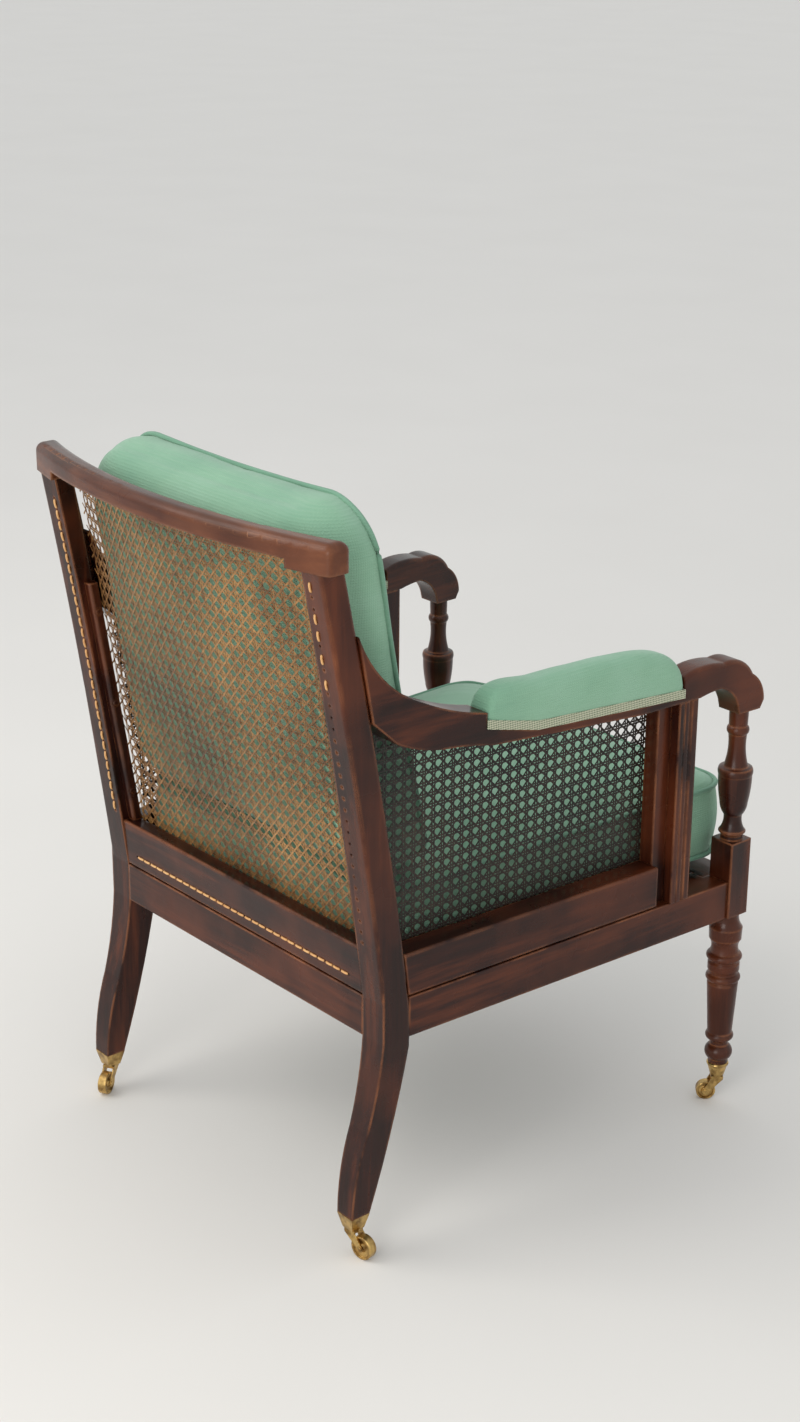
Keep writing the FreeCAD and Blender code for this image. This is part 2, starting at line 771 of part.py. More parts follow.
def seat_rail_side(name, side):
    body = new_body("seat_rail_" + name)
    depth = mm.rail_setback + mm.side_rail_width
    plan = outline(body, "Plan", "XY_Plane",
                   side_strip_plan(side, post_front, block_rear, mm.rail_setback, depth), mm.seat_low)
    extrude(body, "Pad", "Rail", plan, mm.seat_rail_height, both_ways=False)
    low, high = x_span(side, post_inner - 40, post_inner)
    block(body, "Subtractive", "BackRailNotch", (low, back_rail_front, mm.seat_low - 1),
          (high, post_front + 1, seat_top + 1))
    low, high = x_span(side, block_inner - 40, block_inner)
    block(body, "Subtractive", "FrontRailNotch", (low, block_rear - 1, mm.seat_low - 1),
          (high, front_rail_rear, seat_top + 1))
    low, high = x_span(side, side_tenon_rear_x - tenon_half, side_tenon_rear_x + tenon_half)
    block(body, "Additive", "RearTenon", (low, post_front - 1, tenon_low),
          (high, post_front + mm.tenon_length, tenon_high))
    low, high = x_span(side, leg_x - tenon_half, leg_x + tenon_half)
    block(body, "Additive", "FrontTenon", (low, block_rear - mm.tenon_length, tenon_low),
          (high, block_rear + 1, tenon_high))
    rod(body, "Subtractive", "UprightDowelHole", mm.dowel_radius + LOOSE, mm.dowel_length,
        (side * upright_mid_x, upright_mid_y, seat_top - mm.dowel_length / 2 - LOOSE))
    for rear in (True, False):
        x, y = corner_screws(side, rear)["side_screw"]
        rod(body, "Subtractive", "ScrewHole_%d" % rear, mm.screw_radius + 0.05, 40,
            (x - 20, y, screw_low), "x")


def lower_side_rail(name, side):
    body = new_body("lower_side_rail_" + name)
    plan = outline(body, "Plan", "XY_Plane",
                   side_strip_plan(side, mm.rear_face, stile_rear, mm.rail_setback,
                                   mm.side_frame_width), seat_top)
    extrude(body, "Pad", "Rail", plan, mm.lower_side_height, both_ways=False)
    top = lower_side_top.value
    outside = (outer_x(as_size(0)) - 10).value
    soften(body, "TopRounding", 3, lambda edge: edge.BoundBox.YLength > 100
           and edge.BoundBox.ZMin > top - 0.1 and abs(edge.BoundBox.Center.x) > outside)
    groove = outline(body, "Groove", "XY_Plane",
                     side_strip_plan(side, mm.rear_face + 5, stile_rear - 5, -5,
                                     mm.rail_setback + mm.groove_depth), seat_top)
    extrude(body, "Pocket", "GrooveCut", groove, mm.groove_height, False, True)
    trim = outline(body, "PostTrim", "YZ_Plane", [
        (post_front_y(seat_top) - LOOSE, seat_top - 1),
        (post_front_y(lower_side_top) - LOOSE, lower_side_top + 1),
        (mm.rear_face + 20, lower_side_top + 1),
        (mm.rear_face + 20, seat_top - 1),
    ])
    extrude(body, "Pocket", "PostTrimCut", trim, 800)


def upright(name, side):
    body = new_body("arm_upright_" + name)
    plan = outline(body, "Plan", "XY_Plane",
                   side_strip_plan(side, mm.upright_rear, upright_front, 0, mm.side_frame_width), seat_top)
    extrude(body, "Pad", "Upright", plan, mm.arm_soffit - seat_top, both_ways=False)
    for label, share, radius in (("Hollow", 0.62, mm.bead_radius), ("Quirk", 0.28, mm.bead_radius / 2)):
        y = mm.upright_rear - mm.upright_depth * share
        rod(body, "Subtractive", label, radius, 400, (side * (outer_x(y) + 0.8), y, seat_top - 1))
    for label, z in (("LowDowelHole", seat_top - 1), ("HighDowelHole", mm.arm_soffit - mm.dowel_length / 2)):
        rod(body, "Subtractive", label, mm.dowel_radius + LOOSE, mm.dowel_length / 2 + 1,
            (side * upright_mid_x, upright_mid_y, z))


def panel_stile(name, side):
    body = new_body("panel_stile_" + name)
    plan = outline(body, "Plan", "XY_Plane",
                   side_strip_plan(side, stile_rear, mm.upright_rear, mm.stile_recess,
                                   mm.side_frame_width), seat_top)
    extrude(body, "Pad", "Stile", plan, mm.arm_soffit - seat_top, both_ways=False)


def upright_dowels():
    dowels = []
    for name, side in SIDES.items():
        for label, z in (("low", seat_top), ("high", mm.arm_soffit)):
            dowels.append(loose_rod("Dowel_%s_%s" % (name, label), mm.dowel_radius, mm.dowel_length - 1,
                                    (side * upright_mid_x, upright_mid_y, z - mm.dowel_length / 2 + 0.5)))
    group("upright_dowels", dowels)


def arm_dowels():
    dowels = []
    for name, side in SIDES.items():
        dowels.append(loose_rod("ArmDowel_" + name, mm.dowel_radius, mm.dowel_length - 1,
                                (side * arm_dowel_x, arm_dowel_y - mm.dowel_length / 2 + 0.5,
                                 arm_dowel_z), "y"))
    group("arm_dowels", dowels)


def front_leg(name, side):
    """The turned leg, its square block and the turned arm support, from one blank."""
    body = new_body("front_leg_" + name)
    place(body, side * leg_x, leg_y)
    half = mm.block_width / 2
    block(body, "Additive", "Block", (-half, -half, mm.seat_low), (half, half, mm.block_top))
    soften(body, "BlockEdges", 1.2, lambda edge: edge.BoundBox.ZLength > 50)
    low = mm.seat_low
    leg = outline(body, "Leg", "XZ_Plane", [
        (0, low + 1), (half - 1.5, low + 1), (half - 1.5, low),
        (23, low - 22, -2.5), (22.3, low - 39), (19.8, low - 58, -2.5), (19.8, low - 61),
        (19.8, low - 71, 4.9), (19.8, low - 74), (22, low - 76), (22, low - 86), (19.8, low - 88),
        (19.8, low - 93), (19.8, low - 103, 4.2), (19.8, low - 105), (21.5, low - 107),
        (17, low - 184), (17, low - 194, 2.6), (12.5, low - 198, -1), (12.5, low - 203),
        (14.2, low - 225, 6), (mm.front_foot_radius, mm.foot_height),
        (mm.front_foot_radius - mm.cup_wall, mm.foot_height), (wood_low_half, wood_low), (0, wood_low),
    ])
    turn(body, "TurnedLeg", leg)
    rod(body, "Subtractive", "SpindleRoom", mm.spindle_radius + mm.spindle_head + 0.5, 12,
        (0, 0, wood_low - 1))
    low = mm.block_top
    high = mm.support_top
    support = outline(body, "Support", "XZ_Plane", [
        (0, low - 1), (0, high), (13, high), (13, high - 10), (12.6, high - 24),
        (12.6, high - 36, 2.6), (12.3, high - 39), (16.5, high - 82, -2.2),
        (22.4, high - 84), (22.8, high - 94, 1.2), (19, high - 134, 1), (12.5, high - 152, 1.5),
        (17, high - 174, -2), (17, high - 178, 1.5), (15, high - 180), (15, low - 1),
    ])
    turn(body, "TurnedSupport", support)
    rod(body, "Additive", "SupportTenon", mm.support_tenon_radius, mm.support_tenon_length + 2,
        (0, 0, high - 2))
    reach, deep = half + 1, half - mm.tenon_length - LOOSE
    loose_half = tenon_half + LOOSE
    start, end = x_span(-side, deep, reach)
    block(body, "Subtractive", "FrontRailMortise", (start, -loose_half, tenon_low - LOOSE),
          (end, loose_half, tenon_high + LOOSE))
    block(body, "Subtractive", "SideRailMortise", (-loose_half, deep, tenon_low - LOOSE),
          (loose_half, reach, tenon_high + LOOSE))


def pad_foot_corners():
    """The line on the arm where the pad's foot lies, from the rear to the front."""
    return [
        (mm.pad_rear, mm.pad_foot_rear),
        (mm.pad_rear - 80, mm.pad_foot_middle),
        (mm.pad_front, mm.pad_foot_front),
    ]


def pad_foot_z(y):
    """Height of the pad's foot at y, as a plain number for the pad's sections."""
    middle = (mm.pad_rear - 80).value
    rear, front = mm.pad_rear.value, mm.pad_front.value
    if y > middle:
        share = (y - middle) / (rear - middle)
        return mm.pad_foot_middle.value + share * (mm.pad_foot_rear - mm.pad_foot_middle).value
    share = (middle - y) / (middle - front)
    return mm.pad_foot_middle.value + share * (mm.pad_foot_front - mm.pad_foot_middle).value


def trim_to_side(body, side, near, far, start, end):
    """Cuts a blank back to a strip along the splayed side of the chair."""
    outside = outline(body, "OuterTrim", "XY_Plane", side_strip_plan(side, start, end, -70, near))
    extrude(body, "Pocket", "OuterTrimCut", outside, 2400)
    inside = outline(body, "InnerTrim", "XY_Plane", side_strip_plan(side, start, end, far, far + 70))
    extrude(body, "Pocket", "InnerTrimCut", inside, 2400)


def arm(name, side):
    body = new_body("arm_" + name)
    soffit = mm.arm_soffit
    front = mm.pad_front
    step = mm.pad_foot_rear + 21
    low_z, high_z = soffit + 86, soffit + 196
    crook_x = leg_y
    foot = pad_foot_corners()
    mid_x = side * (outer_x(as_size(0)) - mm.side_frame_width / 2)
    core_rear = mm.pad_rear - mm.pad_core_inset
    core_front = mm.pad_front + mm.pad_core_inset
    core = outline(body, "Core", "YZ_Plane", [
        (core_rear, mm.pad_foot_rear - 5),
        (core_rear, mm.pad_foot_rear + mm.pad_core_height - 1),
        (mm.pad_rear - 80, mm.pad_foot_middle + mm.pad_core_height),
        (core_front, mm.pad_foot_front + mm.pad_core_height),
        (core_front, mm.pad_foot_front - 5),
        (mm.pad_rear - 80, mm.pad_foot_middle - 5),
    ], mid_x)
    extrude(body, "Pad", "Core", core, 110)
    trim_to_side(body, side, mm.pad_core_inset, mm.side_frame_width - mm.pad_core_inset,
                 mm.rear_face + 90, mm.front_face - 40)
    profile = outline(body, "Side", "YZ_Plane", [
        (post_front_y(low_z) - 3 * LOOSE, low_z),
        (post_front_y(high_z) - 3 * LOOSE, high_z),
        (mm.pad_rear + 97, soffit + 96, 14),
        (mm.pad_rear, step, 3.5),
        foot[0], foot[1], foot[2],
        (front, soffit + 34),
        (front - 30, soffit + 41.5, -1.5),
        (front - 72, soffit + 38, -1.5),
        (front - 128, soffit + 10, -11),
        (front - 147.5, soffit - 28, -5),
        (crook_x - mm.crook_cup_radius, mm.support_top),
        (crook_x + mm.crook_cup_radius, mm.support_top),
        (crook_x + 22, mm.support_top + 12),
        (front - 66, soffit + 4.5, 6),
        (front - 29, soffit, 1),
        (mm.upright_rear + 70, soffit),
        (mm.pad_rear - 10, soffit + 17.5),
        (mm.pad_rear + 58, soffit + 29.5, 1.5),
        (mm.pad_rear + 135, soffit + 52.5, -4),
    ], mid_x)
    extrude(body, "Pad", "Blank", profile, 110)
    trim_to_side(body, side, as_size(0), mm.side_frame_width, mm.rear_face + 90, mm.front_face - 40)
    front_limit = (mm.pad_front - 1).value
    foremost = mm.front_face.value - 12
    soffit_z = soffit.value

    def crook_edge(edge):
        box = edge.BoundBox
        in_crook = box.YMax < front_limit and box.YMin > foremost and box.ZMin > soffit_z + 1
        return in_crook and box.XLength < 5 and box.YLength > 10 and box.ZLength < 60

    soften(body, "CrookRounding", mm.arm_rounding, crook_edge)
    rod(body, "Subtractive", "SupportSocket", mm.support_tenon_radius + LOOSE,
        mm.support_tenon_length + 1, (side * leg_x, leg_y, mm.support_top - 0.5))
    rod(body, "Subtractive", "UprightDowelHole", mm.dowel_radius + LOOSE, mm.dowel_length / 2 + 1,
        (side * upright_mid_x, upright_mid_y, soffit - 1))
    rod(body, "Subtractive", "PostDowelHole", mm.dowel_radius + LOOSE, mm.dowel_length,
        (side * arm_dowel_x, arm_dowel_y - mm.dowel_length / 2, arm_dowel_z), "y")


def corner_block(name, side, rear):
    body = new_body("corner_block_" + name)
    place_of = corner_screws(side, rear)
    inward = place_of["inward"]
    face = back_rail_front if rear else front_rail_rear
    end = face + inward * mm.corner_block_leg
    plan = outline(body, "Plan", "XY_Plane", [
        (side * side_rail_inner(face), face),
        (side * side_rail_inner(end), end),
        (side * (side_rail_inner(face) - mm.corner_block_leg), face),
    ], block_low)
    extrude(body, "Pad", "Block", plan, mm.corner_block_height, both_ways=False)
    bore = mm.screw_radius + 0.05
    sink = mm.screw_head_radius + 0.2
    body_length = mm.screw_length - mm.screw_bite
    x, y = place_of["rail_screw"]
    rod(body, "Subtractive", "RailScrewHole", bore, 2 * body_length + 2, (x, y - body_length - 1, screw_high), "y")
    sink_y = y - body_length - 30 if rear else y + body_length
    rod(body, "Subtractive", "RailScrewSink", sink, 30, (x, sink_y, screw_high), "y")
    x, y = place_of["side_screw"]
    rod(body, "Subtractive", "SideScrewHole", bore, 2 * body_length + 2, (x - body_length - 1, y, screw_low), "x")
    low = x_span(side, side_rail_inner(y) - body_length - 30, side_rail_inner(y) - body_length)[0]
    rod(body, "Subtractive", "SideScrewSink", sink, 30, (low, y, screw_low), "x")


def corner_block_screws():
    screws = []
    in_block = mm.screw_length - mm.screw_bite
    for name, side in SIDES.items():
        for rear in (True, False):
            place_of = corner_screws(side, rear)
            tag = "%s_%s" % (name, "rear" if rear else "front")
            x, y = place_of["rail_screw"]
            if rear:
                shank_y, head_y = y - in_block, y - in_block - 2.5
            else:
                shank_y, head_y = y - mm.screw_bite, y + in_block
            screws.append(screw("RailScrew_" + tag, (x, shank_y, screw_high), (x, head_y, screw_high), "y"))
            x, y = place_of["side_screw"]
            if side > 0:
                shank_x, head_x = x - in_block, x - in_block - 2.5
            else:
                shank_x, head_x = x - mm.screw_bite, x + in_block
            screws.append(screw("SideScrew_" + tag, (shank_x, y, screw_low), (head_x, y, screw_low), "x"))
    group("corner_block_screws", screws)


def screw(name, shank_base, head_base, axis):
    shank = loose_rod(name + "_shank", mm.screw_radius, mm.screw_length, shank_base, axis)
    head = loose_rod(name + "_head", mm.screw_head_radius, 2.5, head_base, axis)
    whole = doc.addObject("Part::Fuse", name)
    whole.Base = shank
    whole.Tool = head
    return whole


def soft_piece(label, shape):
    """A soft or woven piece, whose form is worked out from the sheet's sizes here."""
    item = doc.addObject("Part::Feature", "Soft_" + label)
    item.Label = label
    item.Shape = shape
    return item


# Sections of an arm pad from its rear end to its front end:
# share of its length, of its crown and of its width
PAD_SECTIONS = [
    (0.0, 0.62, 0.9), (0.04, 0.82, 0.96), (0.12, 0.93, 1.0), (0.24, 0.98, 1.0), (0.45, 1.0, 1.0),
    (0.67, 0.96, 1.0), (0.84, 0.82, 0.98), (0.94, 0.63, 0.95), (1.0, 0.42, 0.88),
]


def pad_solid(side, inset, lift, wall):
    """An arm pad drawn in by inset all round, with a straight wall on a foot raised by lift."""
    wires = []
    rear = mm.pad_rear.value - 2.2 - inset
    front = mm.pad_front.value + 2.2 + inset
    half_frame = mm.side_frame_width.value / 2
    for along, crown, width in PAD_SECTIONS:
        y = rear + (front - rear) * along
        x = side * (outer_x(as_size(y)).value - half_frame)
        foot = pad_foot_z(y) + 0.6
        high = foot + mm.pad_crown.value * crown - inset
        low = foot + lift
        half = (half_frame - 0.3) * width - inset
        top_half = half * 0.95
        top_rise = min(top_half * 0.8, (high - low - wall) * 0.6)
        bulge = mm.pad_bulge.value * crown
        points = [Vector(x - half, y, low), Vector(x + half, y, low),
                  Vector(x + half, y, low + wall), Vector(x + top_half, y, high - top_rise),
                  Vector(x - top_half, y, high - top_rise), Vector(x - half, y, low + wall)]
        right = (points[2] + points[3]) * 0.5 + Vector(bulge, 0, 0)
        left = (points[4] + points[5]) * 0.5 - Vector(bulge, 0, 0)
        edges = [
            Part.LineSegment(points[0], points[1]).toShape(),
            Part.LineSegment(points[1], points[2]).toShape(),
            Part.Arc(points[2], right, points[3]).toShape(),
            Part.Arc(points[3], Vector(x, y, high), points[4]).toShape(),
            Part.Arc(points[4], left, points[5]).toShape(),
            Part.LineSegment(points[5], points[0]).toShape(),
        ]
        wires.append(Part.Wire(edges))
    return Part.makeLoft(wires, True, PAD_RULED)


PAD_RULED = True


def arm_pad(name, side):
    """The fabric over an arm pad, open below, and the stuffing on the wooden core."""
    skin = mm.cover_thickness.value
    wall = mm.gimp_height.value
    room = pad_solid(side, skin, -4, wall + 4)
    soft_piece("arm_pad_cover_" + name, pad_solid(side, 0, 0, wall).cut(room))
    over_core = mm.pad_core_height.value + mm.pad_gap.value
    soft_piece("arm_pad_stuffing_" + name, pad_solid(side, skin + 2, over_core, 1))


def arm_gimp(name, side):
    body = new_body("arm_gimp_" + name)
    rear, front = mm.pad_rear - LOOSE, mm.pad_front + LOOSE
    middle = mm.pad_rear - 80
    band = outline(body, "Band", "YZ_Plane", [
        (rear, mm.pad_foot_rear + LOOSE),
        (rear, mm.pad_foot_rear + mm.gimp_height),
        (middle, mm.pad_foot_middle + mm.gimp_height),
        (front, mm.pad_foot_front + mm.gimp_height),
        (front, mm.pad_foot_front + LOOSE),
        (middle, mm.pad_foot_middle + LOOSE),
    ], side * (outer_x(as_size(0)) - mm.side_frame_width / 2))
    extrude(body, "Pad", "Blank", band, 110)
    proud = mm.gimp_thickness
    trim_to_side(body, side, -proud, mm.side_frame_width + proud, mm.rear_face, mm.front_face)
    inner = outline(body, "Inside", "XY_Plane",
                    side_strip_plan(side, rear - proud, front + proud, 0, mm.side_frame_width))
    extrude(body, "Pocket", "InsideCut", inner, 2400)


def octagon(u, v, radius):
    corners = []
    for number in range(9):
        turn_by = math.radians(22.5 + 45 * number)
        corners.append((u + radius * math.cos(turn_by), v + radius * math.sin(turn_by)))
    return corners


def net_holes(inside, pitch, radius):
    """Centres of the gaps of a net whose outline is the test inside(u, v)."""
    reach = 40
    centres = []
    for column in range(-reach, reach + 1):
        for line in range(-reach, reach + 1):
            u, v = column * pitch, line * pitch
            if inside(u, v, radius * 1.6):
                centres.append((u, v))
    return centres


def seat_cane():
    rear = cane_low_y.value - mm.cane_thickness.value - 1
    front = front_rail_rear.value - 12
    gap = mm.side_frame_width.value + 1
    rear_half = outer_x(as_size(rear)).value - gap
    front_half = outer_x(as_size(front)).value - gap
    corners = [(-rear_half, rear), (rear_half, rear), (front_half, front), (-front_half, front)]
    points = [Vector(x, y, 0) for x, y in corners]
    opening_rear = back_rail_front.value - 4
    opening_front = front_rail_rear.value + 4
    middle = (opening_rear + opening_front) / 2

    def inside(u, v, margin):
        y = middle + v
        fits = opening_front + margin < y < opening_rear - margin
        return fits and abs(u) < side_rail_inner(as_size(y)).value - 4 - margin

    pitch = mm.seat_net_pitch.value
    holes = []
    for u, v in net_holes(inside, pitch, pitch * 0.34):
        ring = [Vector(a, middle + b, 0) for a, b in octagon(u, v, pitch * 0.34)]
        holes.append(Part.makePolygon(ring))
    face = Part.Face([Part.makePolygon(points + points[:1])] + holes)
    net = face.extrude(Vector(0, 0, mm.cane_thickness.value))
    net.translate(Vector(0, 0, seat_top.value))
    print("seat net gaps", len(holes))
    soft_piece("seat_cane", net)


def side_cane(name, side):
    """The side panel: a net in the splayed plane of the side frame's inner faces."""
    lap = 12
    low = lower_side_top.value - lap
    front = stile_rear.value - lap
    lap = 6
    soffit = mm.arm_soffit.value
    rear = mm.pad_rear.value
    top = [(front, soffit + lap), (mm.upright_rear.value + 75, soffit + lap), (rear - 8, soffit + 16 + lap),
           (rear + 60, soffit + 29 + lap), (rear + 133, soffit + 54 + lap), (rear + 152, soffit + 74 + lap)]
    end = post_front_y(as_size(top[-1][1])).value - 0.5
    outline_points = [(post_front_y(as_size(low)).value - 0.5, low), (front, low)] + top
    outline_points[-1] = (end, top[-1][1])
    frame = [Vector(0, y, z) for y, z in outline_points]

    def inside(u, v, margin):
        y, z = middle_y + u, middle_z + v
        if not (stile_rear.value + margin < y and lower_side_top.value + margin < z):
            return False
        if y > post_front_y(as_size(z)).value - margin - 3:
            return False
        for (y0, z0), (y1, z1) in zip(top, top[1:]):
            if y0 <= y <= y1:
                return z < z0 + (z1 - z0) * (y - y0) / (y1 - y0) - lap - margin
        return False

    middle_y = 20
    middle_z = 520
    pitch = mm.side_net_pitch.value
    holes = []
    for u, v in net_holes(inside, pitch, pitch * 0.34):
        ring = [Vector(0, middle_y + a, middle_z + b) for a, b in octagon(u, v, pitch * 0.34)]
        holes.append(Part.makePolygon(ring))
    face = Part.Face([Part.makePolygon(frame + frame[:1])] + holes)
    net = face.extrude(Vector(-side * mm.cane_thickness.value, 0, 0))
    splay = math.atan(mm.side_splay.value)
    inner = outer_x(as_size(0)).value - mm.side_frame_width.value
    net.rotate(Vector(0, 0, 0), Vector(0, 0, 1), side * math.degrees(splay))
    net.translate(Vector(side * inner, 0, 0))
    print("side net gaps", len(holes))
    soft_piece("side_cane_" + name, net)


def bent_sheet(rows, shift):
    """A thin sheet of flat facets through rows of points, as thick as shift."""
    faces = []

    def facets(a, b, c, d):
        faces.append(Part.Face(Part.makePolygon([a, b, c, a])))
        faces.append(Part.Face(Part.makePolygon([a, c, d, a])))

    for low, high in zip(rows, rows[1:]):
        for k in range(len(low) - 1):
            a, b, c, d = low[k], low[k + 1], high[k + 1], high[k]
            facets(a, b, c, d)
            facets(a + shift, b + shift, c + shift, d + shift)
        for end in (0, -1):
            facets(low[end], high[end], high[end] + shift, low[end] + shift)
    for row in (rows[0], rows[-1]):
        for start, stop in zip(row, row[1:]):
            facets(start, stop, stop + shift, start + shift)
    shell = Part.makeShell(faces)
    shell.sewShape()
    solid = Part.Solid(shell)
    if solid.Volume < 0:
        solid.reverse()
    return solid


def back_cane():
    """The back panel: straight along the lower rail and bowed to the rear under the crest."""
    low = seat_top.value + mm.lower_back_hole_rise.value - 6
    bend = lower_back_top.value
    high = mm.post_top_height.value + mm.cane_overlap_top.value - 0.5

    def row(z, bow):
        return [Vector(x.value, y.value, z) for x, y in cane_row(cane_y(as_size(z)), bow)]

    shift = Vector(0, -mm.cane_thickness.value, 0)
    panel = bent_sheet([row(low, as_size(0)), row(bend, as_size(0)), row(high, mm.cane_bow)], shift)
    pitch = mm.back_net_pitch.value
    radius = pitch * 0.36
    field_low = lower_back_top.value + 4
    field_high = (mm.post_top_height + mm.crest_relief).value - 4
    field_half = (post_inner - mm.strip_thickness).value - 2
    middle = (field_low + field_high) / 2

    def inside(u, v, margin):
        return abs(u) < field_half - margin and abs(v) < (field_high - field_low) / 2 - margin

    holes = []
    for u, v in net_holes(inside, pitch, radius):
        ring = [Vector(a, cane_low_y.value - 30, middle + b) for a, b in octagon(u, v, radius)]
        holes.append(Part.Face(Part.makePolygon(ring)).extrude(Vector(0, 220, 0)))
    print("back net gaps", len(holes))
    soft_piece("back_cane", panel.cut(Part.makeCompound(holes)))


def cushion_ring(corners, radii, draw, height):
    """One section of a cushion: four sides, each drawn in by draw, and four round corners."""
    edges = []
    count = len(corners)
    starts, ends, tips = [], [], []
    for index in range(count):
        here = Vector(*corners[index], height)
        before = Vector(*corners[index - 1], height)
        after = Vector(*corners[(index + 1) % count], height)
        starts.append(here + (before - here).normalize() * radii[index])
        ends.append(here + (after - here).normalize() * radii[index])
        tips.append((here * 0.586 + (starts[-1] + ends[-1]) * 0.207))
    for index in range(count):
        following = starts[(index + 1) % count]
        edges.append(Part.Arc(starts[index], tips[index], ends[index]).toShape())
        run = following - ends[index]
        inward = Vector(-run.y, run.x, 0).normalize()
        middle = (ends[index] + following) * 0.5 + inward * draw
        edges.append(Part.Arc(ends[index], middle, following).toShape())
    return Part.Wire(edges)


def cushion_solid(corners, radii, levels, by):
    """A cushion through its levels, made smaller by the same length on every side."""
    rings = []
    centre_u = sum(u for u, v in corners) / len(corners)
    centre_v = sum(v for u, v in corners) / len(corners)
    low, high = levels[0][0], levels[-1][0]
    middle = (low + high) / 2
    squeeze = 1 - 2 * by / (high - low)
    for height, inset, draw in levels:
        inward = inset + by
        moved = [(u - inward * math.copysign(1, u - centre_u), v - inward * math.copysign(1, v - centre_v))
                 for u, v in corners]
        rounding = [radius + 0.15 * max(inward, 0) for radius in radii]
        rings.append(cushion_ring(moved, rounding, draw, middle + (height - middle) * squeeze))
    return Part.makeLoft(rings, True, True)


def cushion(label, corners, radii, levels, placement):
    """A cushion's cover and its filling. A level is (height, inset, draw of its sides)."""
    skin = mm.cover_thickness.value
    cover = cushion_solid(corners, radii, levels, 0).cut(cushion_solid(corners, radii, levels, skin))
    filling = cushion_solid(corners, radii, levels, skin + mm.pad_gap.value)
    for name, shape in (("cover", cover), ("filling", filling)):
        shape.Placement = placement
        soft_piece("%s_%s" % (label, name), shape)


def crown_levels(start, height, reach, draw):
    """Levels of a crown that leaves the seam steeply and is flat in the middle."""
    levels = []
    for share in (0.07, 0.2, 0.4, 0.65, 1.0):
        rise = 1 - (1 - share) ** 2.6
        levels.append((start + height * rise, reach * share, draw * (1 - share) + 0.4))
    return levels


def cushion_levels(low_crown, side, crown):
    """The sections of a boxed cushion, from its lower face to the top of its crown."""
    bulge, draw = mm.cushion_bulge.value, mm.cushion_draw.value
    reach = mm.cushion_crown_reach.value
    seam = low_crown + side
    below = [(low_crown - (height - seam), inset, hollow)
             for height, inset, hollow in crown_levels(seam, low_crown, reach, draw)]
    walls = [
        (low_crown, 0, draw), (low_crown + side * 0.2, -bulge * 0.7, draw * 0.4),
        (low_crown + side * 0.5, -bulge, draw * 0.2), (low_crown + side * 0.8, -bulge * 0.7, draw * 0.4),
        (seam, 0, draw),
    ]
    return below[::-1] + walls + crown_levels(seam, crown, reach, draw)


def seat_levels():
    return cushion_levels(mm.seat_cushion_low_crown.value, mm.seat_cushion_side.value,
                          mm.seat_cushion_crown.value)


def seat_cushion_base():
    return (seat_top + mm.cane_thickness + mm.cushion_gap).value


def seat_cushion_z(y):
    """Height of the seat cushion's upper face at y, on the middle plane."""
    from_rear = mm.seat_cushion_rear.value - y
    above = [(inset, height) for height, inset, draw in seat_levels()
             if height >= (mm.seat_cushion_low_crown + mm.seat_cushion_side).value]
    for (inset, height), (next_inset, next_height) in zip(above, above[1:]):
        if inset <= from_rear <= next_inset:
            share = (from_rear - inset) / (next_inset - inset)
            return seat_cushion_base() + height + (next_height - height) * share
    top = above[-1][1] if from_rear > 0 else above[0][1]
    return seat_cushion_base() + top


def seat_cushion():
    front, rear = mm.seat_cushion_front.value, mm.seat_cushion_rear.value
    front_half, rear_half = mm.seat_cushion_front_half.value, mm.seat_cushion_rear_half.value
    corners = [(-front_half, front), (front_half, front), (rear_half, rear), (-rear_half, rear)]
    radii = [mm.seat_cushion_corner.value] * 4
    base = Vector(0, 0, seat_cushion_base())
    cushion("seat_cushion", corners, radii, seat_levels(), FreeCAD.Placement(base, FreeCAD.Rotation()))


def back_cushion():
    """The back cushion leans on the cane: its thickness runs forward and its height up."""
    half = mm.back_cushion_half.value
    height = mm.back_cushion_height.value
    bulge = mm.cushion_bulge.value
    lean = math.atan(cane_slope.value)
    corners = [(-half, bulge), (half, bulge), (half, bulge + height), (-half, bulge + height)]
    low, high = mm.back_cushion_low_corner.value, mm.back_cushion_corner.value
    levels = cushion_levels(mm.back_cushion_rear_crown.value, mm.back_cushion_side.value,
                            mm.back_cushion_crown.value)
    # It is let down along the cane until its lower edge rests on the seat cushion.
    gap = mm.cushion_gap.value
    base_z = 0
    rear_at_floor = (cane_y(as_size(0)) - mm.cane_thickness).value - gap
    for out, inset, draw in levels:
        edge = (bulge + inset + draw / 2) * math.cos(lean) + out * math.sin(lean)
        y = rear_at_floor + cane_slope.value * (seat_cushion_base() + 100) - out * math.cos(lean)
        base_z = max(base_z, seat_cushion_z(y) + gap - edge)
    rear_y = rear_at_floor + cane_slope.value * base_z
    upright = FreeCAD.Rotation(Vector(1, 0, 0), 90 - math.degrees(lean))
    cushion("back_cushion", corners, [low, low, high, high], levels,
            FreeCAD.Placement(Vector(0, rear_y, base_z), upright))


# The four casters: where each stands, its wheel, its trail and its rest turn
CASTERS = {
    "front_left": (1, False), "front_right": (-1, False),
    "rear_left": (1, True), "rear_right": (-1, True),
}


def caster_sizes(name):
    side, rear = CASTERS[name]
    stand = (side * foot_x, foot_y) if rear else (side * leg_x, leg_y)
    wheel = mm.rear_wheel_radius if rear else mm.front_wheel_radius
    trail = mm.rear_trail if rear else mm.front_trail
    return stand, wheel, trail, getattr(mm, "turn_" + name)


ear_inner = mm.wheel_width / 2 + mm.ear_gap
ear_outer = ear_inner + mm.ear_thickness
fork_top = mm.cup_low - 0.5
fork_low = fork_top - mm.fork_crown


